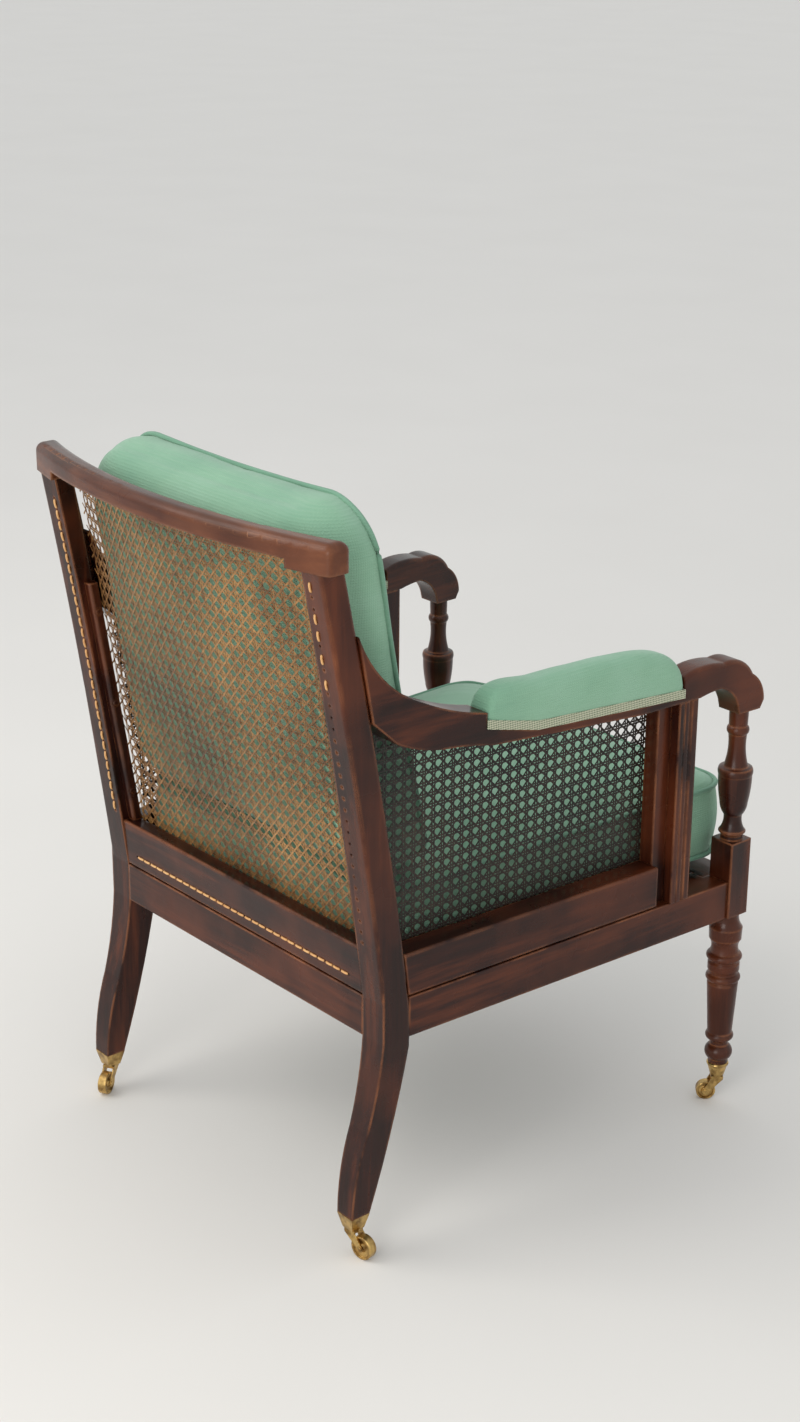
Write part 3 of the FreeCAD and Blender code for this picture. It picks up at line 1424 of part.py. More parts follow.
def round_cup(name):
    stand = caster_sizes(name)[0]
    body = new_body("caster_cup_" + name)
    place(body, *stand)
    low, wall = mm.cup_low, mm.cup_wall
    rim = mm.front_foot_radius
    bore = mm.spindle_radius + mm.spindle_clearance
    section = outline(body, "Section", "XZ_Plane", [
        (bore, low), (mm.cup_low_half, low), (rim, cup_top - 5), (rim + 1, cup_top - 4),
        (rim + 1, cup_top - 1, -0.5), (rim, cup_top), (rim - wall + 0.2, cup_top),
        (mm.cup_low_half - wall, low + mm.cup_floor), (bore, low + mm.cup_floor),
    ])
    turn(body, "Cup", section)


def square_cup(name):
    stand = caster_sizes(name)[0]
    body = new_body("caster_cup_" + name)
    place(body, *stand)
    top_half = mm.foot_width / 2
    low = mm.cup_low
    loft(body, "Additive", "Outside", [
        square(body, "OutsideLow", as_size(0), as_size(0), mm.cup_low_half, low),
        square(body, "OutsideTop", as_size(0), as_size(0), top_half, cup_top),
    ])
    loft(body, "Subtractive", "Inside", [
        square(body, "InsideLow", as_size(0), as_size(0), mm.cup_low_half - mm.cup_wall, low + mm.cup_floor),
        square(body, "InsideTop", as_size(0), as_size(0), top_half - mm.cup_wall + 0.2, cup_top),
    ])
    rod(body, "Subtractive", "SpindleHole", mm.spindle_radius + mm.spindle_clearance, 20, (0, 0, low - 5))


def caster_fork(name):
    stand, wheel, trail, rest_turn = caster_sizes(name)
    body = new_body("caster_fork_" + name)
    place(body, *stand)
    body.Placement.Rotation.Axis = Vector(0, 0, 1)
    bind(body, "Placement.Rotation.Angle", rest_turn)
    ears = outline(body, "Ears", "YZ_Plane", [
        (-8, fork_top), (-8, fork_low - 1), (trail - 5, wheel), (trail + 5, wheel, -4.9),
        (8.5, fork_low - 1), (8.5, fork_top),
    ])
    extrude(body, "Pad", "EarBlank", ears, 2 * ear_outer)
    wheel_room = outline(body, "WheelRoom", "YZ_Plane", [
        (-20, -5), (trail + 30, -5), (trail + 30, fork_low), (-20, fork_low),
    ])
    extrude(body, "Pocket", "WheelRoomCut", wheel_room, 2 * ear_inner)
    rod(body, "Subtractive", "AxleHole", mm.axle_radius + 0.02, 60, (-30, trail, wheel), "x")
    rod(body, "Additive", "Spindle", mm.spindle_radius,
        mm.cup_low + mm.cup_floor + 0.4 - fork_low, (0, 0, fork_low))
    rod(body, "Additive", "RivetHead", mm.spindle_radius + mm.spindle_head, 2.4,
        (0, 0, mm.cup_low + mm.cup_floor + 0.3))


def caster_axle(name):
    stand, wheel, trail, rest_turn = caster_sizes(name)
    body = new_body("caster_axle_" + name)
    place(body, stand[0] - trail * sine(rest_turn), stand[1] + trail * cosine(rest_turn), wheel)
    body.Placement.Rotation.Axis = Vector(0, 0, 1)
    bind(body, "Placement.Rotation.Angle", rest_turn)
    head = mm.axle_radius + 1
    end = ear_outer + 1.2
    section = outline(body, "Section", "XY_Plane", [
        (-end, 0), (end, 0), (end, head - 0.6), (end - 0.5, head), (ear_outer + 0.03, head),
        (ear_outer + 0.03, mm.axle_radius), (-ear_outer - 0.03, mm.axle_radius),
        (-ear_outer - 0.03, head), (-end + 0.5, head), (-end, head - 0.6),
    ])
    turn(body, "Pin", section, "H_Axis")


def caster_wheel(name):
    stand, wheel, trail, rest_turn = caster_sizes(name)
    body = new_body("caster_wheel_" + name)
    place(body, stand[0] - trail * sine(rest_turn), stand[1] + trail * cosine(rest_turn), wheel)
    body.Placement.Rotation.Axis = Vector(0, 0, 1)
    bind(body, "Placement.Rotation.Angle", rest_turn)
    half = mm.wheel_width / 2
    bore = mm.axle_radius + mm.axle_clearance
    section = outline(body, "Section", "XY_Plane", [
        (-half, bore), (half, bore), (half, bore + 3), (half - 2.2, bore + 4.2),
        (half - 2.2, wheel - 3.6), (half, wheel - 2.6), (half, wheel - 1), (half - 1.2, wheel, -0.3),
        (-half + 1.2, wheel), (-half, wheel - 1, -0.3), (-half, wheel - 2.6),
        (-half + 2.2, wheel - 3.6), (-half + 2.2, bore + 4.2), (-half, bore + 3),
    ])
    turn(body, "Wheel", section, "H_Axis")


def build():
    crest_rail()
    lower_back_rail()
    seat_rail_back()
    seat_rail_front()
    for name, side in SIDES.items():
        rear_post(name, side)
        back_strip(name, side)
        seat_rail_side(name, side)
        lower_side_rail(name, side)
        upright(name, side)
        panel_stile(name, side)
        front_leg(name, side)
        arm(name, side)
        arm_pad(name, side)
        arm_gimp(name, side)
        side_cane(name, side)
        corner_block("rear_" + name, side, True)
        corner_block("front_" + name, side, False)
    back_strip_plugs()
    upright_dowels()
    arm_dowels()
    corner_block_screws()
    back_cane()
    seat_cane()
    seat_cushion()
    back_cushion()
    for name, (_, rear) in CASTERS.items():
        square_cup(name) if rear else round_cup(name)
        caster_fork(name)
        caster_axle(name)
        caster_wheel(name)


def pieces():
    """The objects that are pieces of the chair: bodies, groups and soft pieces."""
    starts = ("Body_", "Group_", "Soft_")
    return [item for item in doc.Objects if item.Name.startswith(starts)]


def check_and_export():
    problems = []
    for item in doc.Objects:
        if "Invalid" in item.State or "Error" in item.State:
            problems.append(item.Label + " did not compute")
    for item in pieces():
        shape = item.Shape
        if shape.isNull() or not shape.isValid():
            problems.append(item.Label + " has a bad shape")
        elif item.Name.startswith(("Body_", "Soft_")) and len(shape.Solids) != 1:
            problems.append("%s has %d solids" % (item.Label, len(shape.Solids)))
    if problems:
        raise RuntimeError("; ".join(problems))
    for item in pieces():
        item.Shape.exportStep("parts/%s.step" % item.Label)


build()
doc.recompute()
check_and_export()
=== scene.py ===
"""A caned armchair on brass casters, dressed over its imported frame.

The wooden pieces and the casters keep their solids and get their finishes. The woven
cane, the stitches, the cushions with their piping and the arm pads are made here.
Lengths are metres. The chair faces -Y, its left side is +X and +Z is up.
"""
import logging
import math
import random
from abc import ABC, abstractmethod
from dataclasses import dataclass, field
from enum import Enum
from typing import Sequence

import bpy
from mathutils import Matrix, Vector, noise


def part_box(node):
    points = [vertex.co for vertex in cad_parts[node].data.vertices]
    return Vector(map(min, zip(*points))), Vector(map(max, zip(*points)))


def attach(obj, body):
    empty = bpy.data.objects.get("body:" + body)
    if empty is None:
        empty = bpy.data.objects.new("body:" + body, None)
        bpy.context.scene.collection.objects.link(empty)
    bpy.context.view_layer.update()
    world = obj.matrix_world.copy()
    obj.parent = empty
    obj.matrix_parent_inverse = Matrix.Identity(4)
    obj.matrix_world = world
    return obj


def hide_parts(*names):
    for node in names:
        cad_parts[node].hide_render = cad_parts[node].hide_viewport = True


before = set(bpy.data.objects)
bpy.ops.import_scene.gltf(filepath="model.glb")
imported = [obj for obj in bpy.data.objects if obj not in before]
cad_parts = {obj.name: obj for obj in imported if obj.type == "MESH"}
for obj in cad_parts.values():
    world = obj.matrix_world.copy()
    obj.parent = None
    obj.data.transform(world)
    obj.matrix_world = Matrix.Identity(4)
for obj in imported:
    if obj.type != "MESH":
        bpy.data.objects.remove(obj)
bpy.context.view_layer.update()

LOG = logging.getLogger("armchair")
Point = tuple[float, float, float]
Flat = tuple[float, float]
Colour = tuple[float, float, float]
Material = bpy.types.Material
Socket = bpy.types.NodeSocket
Face = Sequence[int]
Shape = tuple[list[Vector], list[Face]]


class Grain(Enum):
    """The way that the grain of a wooden piece runs, as noise scales along X, Y and Z."""

    ACROSS = (3.0, 42.0, 42.0)
    ALONG = (42.0, 3.0, 42.0)
    UPRIGHT = (42.0, 42.0, 3.0)


class Side(Enum):
    """The sitter's left and right, as the sign of x."""

    LEFT = 1
    RIGHT = -1

    @property
    def word(self) -> str:
        """The side's name as the nodes use it."""
        return self.name.lower()


@dataclass(frozen=True)
class FrameSizes:
    """Sizes of the wooden frame that the woven and soft pieces fit."""

    rear_half_width: float = 0.290
    rear_face: float = 0.255
    side_splay: float = 0.0465
    side_frame: float = 0.036
    seat_top: float = 0.3434
    post_width: float = 0.040
    post_depth: float = 0.041
    post_thinning: float = 0.005
    post_top: float = 0.9046
    post_bow: float = 0.005
    rake_run: float = 0.090
    strip: float = 0.012
    cane_low_offset: float = 0.027
    cane_top_offset: float = 0.0266
    cane_half: float = 0.0012
    cane_bow: float = 0.041
    lower_back_top: float = 0.411
    lower_side_top: float = 0.402
    stile_rear: float = -0.198
    arm_soffit: float = 0.6265
    pad_front: float = -0.228
    pad_rear: float = 0.101

    @property
    def cane_run(self) -> Flat:
        """Rear face of the back cane at the seat and at the posts' tops."""
        return self.rear_face - self.cane_low_offset, self.rear_face + self.rake_run - self.cane_top_offset

    @property
    def cane_lean(self) -> float:
        """Angle of the back cane from upright."""
        low, high = self.cane_run
        return math.atan((high - low) / (self.post_top - self.seat_top))

    def rise(self, z: float) -> float:
        """How far up the raked posts z is, from 0 to 1."""
        return (z - self.seat_top) / (self.post_top - self.seat_top)

    def outer_x(self, y: float) -> float:
        """Half width over the splayed sides at y."""
        return self.rear_half_width + self.side_splay * (self.rear_face - y)

    def cane_y(self, z: float) -> float:
        """Middle of the back cane's thickness at the posts, at height z."""
        low, high = self.cane_run
        return low + (high - low) * self.rise(z) - self.cane_half

    def post_rear_y(self, z: float) -> float:
        """Rear face of a raked post at height z."""
        share = self.rise(z)
        return self.rear_face + self.rake_run * share - 4 * self.post_bow * share * (1 - share)

    def post_front_y(self, z: float) -> float:
        """Front face of a raked post at height z."""
        return self.post_rear_y(z) - self.post_depth + self.post_thinning * self.rise(z)

    def post_run(self, z: float, reach: float = 0.01) -> Vector:
        """Direction up a post's rear face at height z, taken over reach to each side."""
        return Vector((0, self.post_rear_y(z + reach) - self.post_rear_y(z - reach), 2 * reach)).normalized()


SIZES = FrameSizes()


class Recipe:
    """One material's node tree, built a node at a time."""

    def __init__(self, name: str, roughness: float) -> None:
        """Starts a material.

        Args:
            name: the material's name.
            roughness: the shader's plain roughness.
        """
        self.material = bpy.data.materials.new(name)
        self.material.use_nodes = True
        self.tree = self.material.node_tree
        self.shader = self.tree.nodes["Principled BSDF"]
        self.shader.inputs["Roughness"].default_value = roughness
        self.places = self.tree.nodes.new("ShaderNodeTexCoord").outputs["Object"]

    def node(self, kind: str, inputs: dict[str, object] | None = None,
             **settings: object) -> bpy.types.Node:
        """Adds a node.

        Args:
            kind: the node's type without its ShaderNode prefix.
            inputs: sockets by name or number, each a plain value or a socket to link from.
            settings: attributes of the node itself.

        Returns:
            The new node.
        """
        made = self.tree.nodes.new("ShaderNode" + kind)
        for key, value in settings.items():
            setattr(made, key, value)
        for key, value in (inputs or {}).items():
            self.feed(made.inputs[int(key)] if key.isdigit() else made.inputs[key], value)
        return made

    def feed(self, socket: Socket, value: object) -> None:
        """Gives a socket its value.

        Args:
            socket: the input.
            value: a socket to link from, a colour or a plain value.
        """
        if isinstance(value, Socket):
            self.tree.links.new(value, socket)
        else:
            socket.default_value = (*value, 1.0) if socket.type == "RGBA" else value

    def stretched(self, scale: Point) -> Socket:
        """Object places scaled along each axis."""
        return self.node("Mapping", {"Vector": self.places, "Scale": scale}).outputs["Vector"]

    def noise(self, scale: float, detail: float, vector: Socket | None = None,
              roughness: float = 0.55) -> Socket:
        """Noise between 0 and 1 at a scale, on object places or on vector."""
        inputs = {"Vector": vector or self.places, "Scale": scale, "Detail": detail, "Roughness": roughness}
        return self.node("TexNoise", inputs).outputs["Fac"]

    def bands(self, direction: str, inputs: dict[str, object]) -> Socket:
        """Bands that follow each other along an axis."""
        made = self.node("TexWave", inputs, wave_type="BANDS", bands_direction=direction)
        return made.outputs["Fac"]

    def ramp(self, factor: Socket, stops: Sequence[tuple[float, Colour]]) -> Socket:
        """Colours along a factor.

        Args:
            factor: the place along the ramp, from 0 to 1.
            stops: a place and a colour each.

        Returns:
            The colour.
        """
        made = self.node("ValToRGB", {"Fac": factor})
        elements = made.color_ramp.elements
        while len(elements) < len(stops):
            elements.new(0.5)
        for element, (place, colour) in zip(elements, stops):
            element.position = place
            element.color = (*colour, 1.0)
        return made.outputs["Color"]

    def mix(self, factor: object, first: object, second: object) -> Socket:
        """Mixes two colours or values, where factor is the share of the second."""
        return self.node("MixRGB", {"Fac": factor, "Color1": first, "Color2": second}).outputs["Color"]

    def span(self, value: Socket, low: float, high: float, to_low: float = 0.0,
             to_high: float = 1.0) -> Socket:
        """Maps a value from one range to another and clamps it."""
        inputs = {"Value": value, "From Min": low, "From Max": high, "To Min": to_low, "To Max": to_high}
        return self.node("MapRange", inputs).outputs["Result"]

    def maths(self, operation: str, first: object, second: object) -> Socket:
        """One step of arithmetic on two values."""
        return self.node("Math", {"0": first, "1": second}, operation=operation).outputs[0]

    def rounded(self, radius: float) -> Socket:
        """A normal that rounds sharp edges over a radius."""
        return self.node("Bevel", {"Radius": radius}, samples=4).outputs["Normal"]

    def bump(self, height: Socket, distance: float, strength: float,
             normal: Socket | None = None) -> Socket:
        """Tilts a normal, or the surface's own, by a height that stands for a distance."""
        inputs = {"Height": height, "Distance": distance, "Strength": strength}
        return self.node("Bump", {**inputs, "Normal": normal} if normal else inputs).outputs["Normal"]

    def finish(self, colour: Socket, normal: Socket | None = None, roughness: Socket | None = None,
               **plain: float) -> Material:
        """Links the shader.

        Args:
            colour: the base colour.
            normal: the shading normal.
            roughness: a varying roughness.
            plain: other sockets by name, spaces as underscores, each a plain number.

        Returns:
            The finished material.
        """
        linked = {"Base Color": colour, "Normal": normal, "Roughness": roughness}
        for key, socket in linked.items():
            if socket is not None:
                self.feed(self.shader.inputs[key], socket)
        for key, value in plain.items():
            self.shader.inputs[key.replace("_", " ")].default_value = value
        return self.material


@dataclass(frozen=True)
class WoodFinish:
    """Old polished mahogany: near-black in the dark of its grain and warm brown where it is rubbed."""

    name: str
    grain: Grain
    dark: Colour = (0.0055, 0.0014, 0.0009)
    body: Colour = (0.0250, 0.0050, 0.0024)
    warm: Colour = (0.1150, 0.0260, 0.0080)
    worn: Colour = (0.3400, 0.1200, 0.0450)
    wear: float = 0.9
    gloss: float = 0.24
    edge_radius: float = 0.0045
    patch_scale: float = 5.5
    rub_scale: float = 17.0
    smear_scale: float = 9.0
    pore_fineness: float = 9.0
    pore_depth: float = 0.00025
    dent_scale: float = 38.0
    dent_depth: float = 0.0009

    def wear_mask(self, made: Recipe, rounded: Socket) -> Socket:
        """Finds the rubbed edges.

        Args:
            made: the material's recipe.
            rounded: the normal with rounded edges, which leaves the true one near an edge.

        Returns:
            How worn each place is, from 0 to 1.
        """
        flat = made.node("NewGeometry").outputs["True Normal"]
        along = made.node("VectorMath", {"0": rounded, "1": flat}, operation="DOT_PRODUCT").outputs["Value"]
        edge = made.span(along, 0.998, 0.90)
        rubbed = made.span(made.noise(self.rub_scale, 4.0), 0.38, 0.58)
        return made.maths("MULTIPLY", made.maths("MULTIPLY", edge, rubbed), self.wear)

    def build(self) -> Material:
        """Makes the material.

        Returns:
            The material.
        """
        made = Recipe(self.name, self.gloss)
        rounded = made.rounded(self.edge_radius)
        grain = made.noise(1.0, 6.0, made.stretched(self.grain.value), 0.62)
        figure = made.ramp(grain, [(0.28, self.dark), (0.52, self.body), (0.78, self.warm)])
        patches = made.span(made.noise(self.patch_scale, 3.0), 0.46, 0.68, 0.0, 0.65)
        figure = made.mix(patches, figure, self.warm)
        colour = made.mix(self.wear_mask(made, rounded), figure, self.worn)
        pore_scale = tuple(self.pore_fineness * part for part in self.grain.value)
        pores = made.noise(1.0, 2.0, made.stretched(pore_scale))
        normal = made.bump(pores, self.pore_depth, 0.5, rounded)
        normal = made.bump(made.noise(self.dent_scale, 2.0), self.dent_depth, 0.35, normal)
        smears = made.noise(self.smear_scale, 4.0)
        rough = made.span(smears, 0.3, 0.75, self.gloss - 0.07, self.gloss + 0.17)
        return made.finish(colour, normal, rough, Specular_IOR_Level=0.26, Coat_Weight=0.10,
                           Coat_Roughness=0.12)


@dataclass(frozen=True)
class CaneFinish:
    """Rattan strands: glossy skin, golden where it is clean and brown where it is aged."""

    name: str
    dark: Colour
    body: Colour
    light: Colour
    aged: float
    age_scale: float = 4.2
    strand_scale: float = 160.0
    knot_scale: float = 420.0
    knot_depth: float = 0.0003

    def build(self) -> Material:
        """Makes the material.

        Returns:
            The material.
        """
        made = Recipe(self.name, 0.42)
        age = made.noise(self.age_scale, 4.0)
        strand = made.noise(self.strand_scale, 3.0)
        low = 0.28 + 0.12 * self.aged
        stops = [(low, self.dark), (low + 0.14, self.body), (0.74, self.light)]
        colour = made.ramp(made.mix(0.42, age, strand), stops)
        normal = made.bump(made.noise(self.knot_scale, 2.0), self.knot_depth, 0.6)
        return made.finish(colour, normal, Specular_IOR_Level=0.45)


@dataclass(frozen=True)
class FabricFinish:
    """A ribbed cotton cloth with a soft slub. Its ribs stand about 3 mm apart."""

    name: str
    shade: Colour = (0.180, 0.355, 0.240)
    body: Colour = (0.240, 0.430, 0.288)
    light: Colour = (0.300, 0.495, 0.360)
    rib_scale: float = 99.4716
    rib_depth: float = 0.0004
    slub_scale: Point = (26.0, 26.0, 620.0)
    cloud_scale: float = 6.0
    dimple_scale: float = 14.0
    dimple_depth: float = 0.004

    def build(self) -> Material:
        """Makes the material.

        Returns:
            The material.
        """
        made = Recipe(self.name, 0.82)
        plain = {"Vector": made.places, "Scale": self.rib_scale, "Distortion": 1.2}
        slubbed = {**plain, "Detail": 1.0, "Detail Scale": 3.0}
        level = made.maths("ADD", made.bands("X", slubbed), made.bands("Y", plain))
        weave = made.maths("MULTIPLY", level, made.bands("Z", slubbed))
        slub = made.noise(1.0, 3.0, made.stretched(self.slub_scale))
        tone = made.mix(0.22, made.noise(self.cloud_scale, 3.0), slub)
        colour = made.ramp(tone, [(0.30, self.shade), (0.5, self.body), (0.72, self.light)])
        colour = made.mix(made.span(weave, 0.0, 1.4, 0.22, 0.0), colour, self.shade)
        normal = made.bump(weave, self.rib_depth, 0.55)
        normal = made.bump(made.noise(self.dimple_scale, 3.0), self.dimple_depth, 0.25, normal)
        return made.finish(colour, normal, Sheen_Weight=0.25, Sheen_Roughness=0.5, Specular_IOR_Level=0.2)


@dataclass(frozen=True)
class BraidFinish:
    """Woven gimp: cream and green threads that cross in a fine chevron."""

    name: str
    cream: Colour = (0.560, 0.560, 0.400)
    green: Colour = (0.110, 0.160, 0.080)
    turns: float = 1100.0
    depth: float = 0.0007

    def build(self) -> Material:
        """Makes the material.

        Returns:
            The material.
        """
        made = Recipe(self.name, 0.75)
        parts = made.node("SeparateXYZ", {"Vector": made.places}).outputs
        run = made.maths("MULTIPLY", made.maths("ADD", parts["X"], parts["Y"]), self.turns)
        climb = made.maths("MULTIPLY", parts["Z"], self.turns)
        leaning = made.maths("SINE", made.maths("ADD", run, climb), 0.0)
        falling = made.maths("SINE", made.maths("SUBTRACT", run, climb), 0.0)
        cross = made.maths("MULTIPLY", leaning, falling)
        colour = made.ramp(made.span(cross, -0.7, 0.7), [(0.25, self.green), (0.6, self.cream)])
        return made.finish(colour, made.bump(cross, self.depth, 0.8), Sheen_Weight=0.2)


@dataclass(frozen=True)
class MetalFinish:
    """Cast and turned metal with a worn, slightly tarnished skin."""

    name: str
    bright: Colour
    tarnish: Colour
    gloss: float = 0.28
    cloud_scale: float = 90.0
    smear_scale: float = 60.0
    edge_radius: float = 0.0006
    pit_depth: float = 0.0002

    def build(self) -> Material:
        """Makes the material.

        Returns:
            The material.
        """
        made = Recipe(self.name, self.gloss)
        cloud = made.noise(self.cloud_scale, 5.0)
        colour = made.ramp(cloud, [(0.36, self.tarnish), (0.62, self.bright)])
        smears = made.noise(self.smear_scale, 3.0)
        rough = made.span(smears, 0.3, 0.7, self.gloss - 0.08, self.gloss + 0.2)
        normal = made.bump(cloud, self.pit_depth, 0.4, made.rounded(self.edge_radius))
        return made.finish(colour, normal, rough, Metallic=1.0)


Finishes = dict[str, Material]
FINISHES = (
    WoodFinish("mahogany_upright", Grain.UPRIGHT),
    WoodFinish("mahogany_across", Grain.ACROSS),
    WoodFinish("mahogany_along", Grain.ALONG),
    # Painted highlight: a lighter, warmer copy of the mahogany for the crest rail, standing in for the
    # bright light on the crest's top.
    WoodFinish("mahogany_painted_highlight", Grain.ACROSS, dark=(0.022, 0.0060, 0.0032), body=(0.075, 0.0200, 0.0090),
               warm=(0.190, 0.0640, 0.0260), worn=(0.380, 0.1700, 0.0800)),
    WoodFinish("plain_beech", Grain.ACROSS, dark=(0.16, 0.09, 0.045), body=(0.25, 0.15, 0.08),
               warm=(0.33, 0.21, 0.12), worn=(0.38, 0.26, 0.16), wear=0.2, gloss=0.55),
    CaneFinish("cane_golden", dark=(0.020, 0.010, 0.004), body=(0.140, 0.061, 0.018),
               light=(0.520, 0.275, 0.090), aged=0.3),
    CaneFinish("cane_dark", dark=(0.006, 0.004, 0.003), body=(0.022, 0.013, 0.008),
               light=(0.075, 0.045, 0.024), aged=0.9),
    CaneFinish("cane_stitch", dark=(0.380, 0.170, 0.050), body=(0.640, 0.330, 0.120),
               light=(0.780, 0.480, 0.210), aged=0.0),
    FabricFinish("ribbed_cotton"),
    FabricFinish("piping_cotton", shade=(0.120, 0.260, 0.170), body=(0.175, 0.345, 0.235),
                 light=(0.230, 0.400, 0.285)),
    BraidFinish("gimp_braid"),
    MetalFinish("old_brass", bright=(0.640, 0.430, 0.160), tarnish=(0.240, 0.140, 0.050)),
    MetalFinish("screw_steel", bright=(0.420, 0.420, 0.420), tarnish=(0.180, 0.170, 0.160), gloss=0.35),
)


def mesh_piece(name: str, points: Sequence[Point | Vector], faces: Sequence[Face],
               material: Material, smooth: bool = True) -> bpy.types.Object:
    """Makes an object from points and faces.

    Args:
        name: the object's name.
        points: the vertices.
        faces: the faces, as indices of points.
        material: its finish.
        smooth: whether its faces are shaded smooth.

    Returns:
        The object, linked to the scene.
    """
    mesh = bpy.data.meshes.new(name)
    mesh.from_pydata([tuple(point) for point in points], [], [list(face) for face in faces])
    mesh.materials.append(material)
    mesh.polygons.foreach_set("use_smooth", [smooth] * len(mesh.polygons))
    mesh.update()
    piece = bpy.data.objects.new(name, mesh)
    bpy.context.scene.collection.objects.link(piece)
    return piece


def ring_faces(rings: int, around: int) -> list[Face]:
    """Quads between closed rings of points.

    Args:
        rings: how many rings there are.
        around: points in a ring.

    Returns:
        The quads.
    """
    faces: list[Face] = []
    for ring in range(rings - 1):
        low, high = ring * around, (ring + 1) * around
        for number in range(around):
            after = (number + 1) % around
            faces.append((low + number, low + after, high + after, high + number))
    return faces


def tube(path: Sequence[Vector], radius: float, closed: bool, sides: int) -> Shape:
    """Sweeps a round section along a path.

    Args:
        path: the points that the middle of the tube passes.
        radius: the tube's radius.
        closed: whether the path ends where it starts.
        sides: faces round the section.

    Returns:
        The tube's points and faces.
    """
    never_along = Vector((0.13, 0.21, 0.97))
    points, count = [], len(path)
    for number, here in enumerate(path):
        before = path[number - 1] if closed or number else here
        after = path[(number + 1) % count] if closed or number < count - 1 else here
        run = (after - before).normalized()
        across = run.cross(never_along).normalized()
        up = across.cross(run).normalized()
        for side in range(sides):
            turn = 2 * math.pi * side / sides
            points.append(here + across * (radius * math.cos(turn)) + up * (radius * math.sin(turn)))
    faces = ring_faces(count, sides)
    last = (count - 1) * sides
    if closed:
        faces += [(last + k, last + (k + 1) % sides, (k + 1) % sides, k) for k in range(sides)]
    else:
        faces += [tuple(reversed(range(sides))), tuple(range(last, last + sides))]
    return points, faces


@dataclass
class WoodAndMetal:
    """The carried-over solids and the finish of each, found by how its name starts."""

    finishes: Finishes
    starts: tuple[tuple[str, tuple[str, ...]], ...] = (
        # The crest rail takes the lighter mahogany copy, which is a painted highlight for the light on its
        # top.
        ("mahogany_painted_highlight", ("crest_rail",)),
        ("mahogany_upright", ("rear_post", "back_strip", "front_leg", "arm_upright", "panel_stile")),
        ("mahogany_along", ("seat_rail_left", "seat_rail_right", "lower_side_rail", "arm_left",
                            "arm_right")),
        ("mahogany_across", ("lower_back_rail", "seat_rail_back", "seat_rail_front")),
        ("plain_beech", ("corner_block_rear", "corner_block_front", "upright_dowels", "arm_dowels")),
        ("screw_steel", ("corner_block_screws",)),
        ("gimp_braid", ("arm_gimp",)),
        ("old_brass", ("caster_",)),
    )

    def finish_of(self, node: str) -> Material | None:
        """Finds a node's finish, or None where a piece made here stands for the node."""
        named = (name for name, starts in self.starts if node.startswith(starts))
        return self.finishes.get(next(named, ""))

    def dress(self) -> None:
        """Gives each carried-over solid its finish."""
        for name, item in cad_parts.items():
            material = self.finish_of(name)
            if material is None:
                continue
            for slot in item.material_slots:
                slot.link = "OBJECT"
                slot.material = material
            LOG.info("solid: %s in %s", name, material.name)


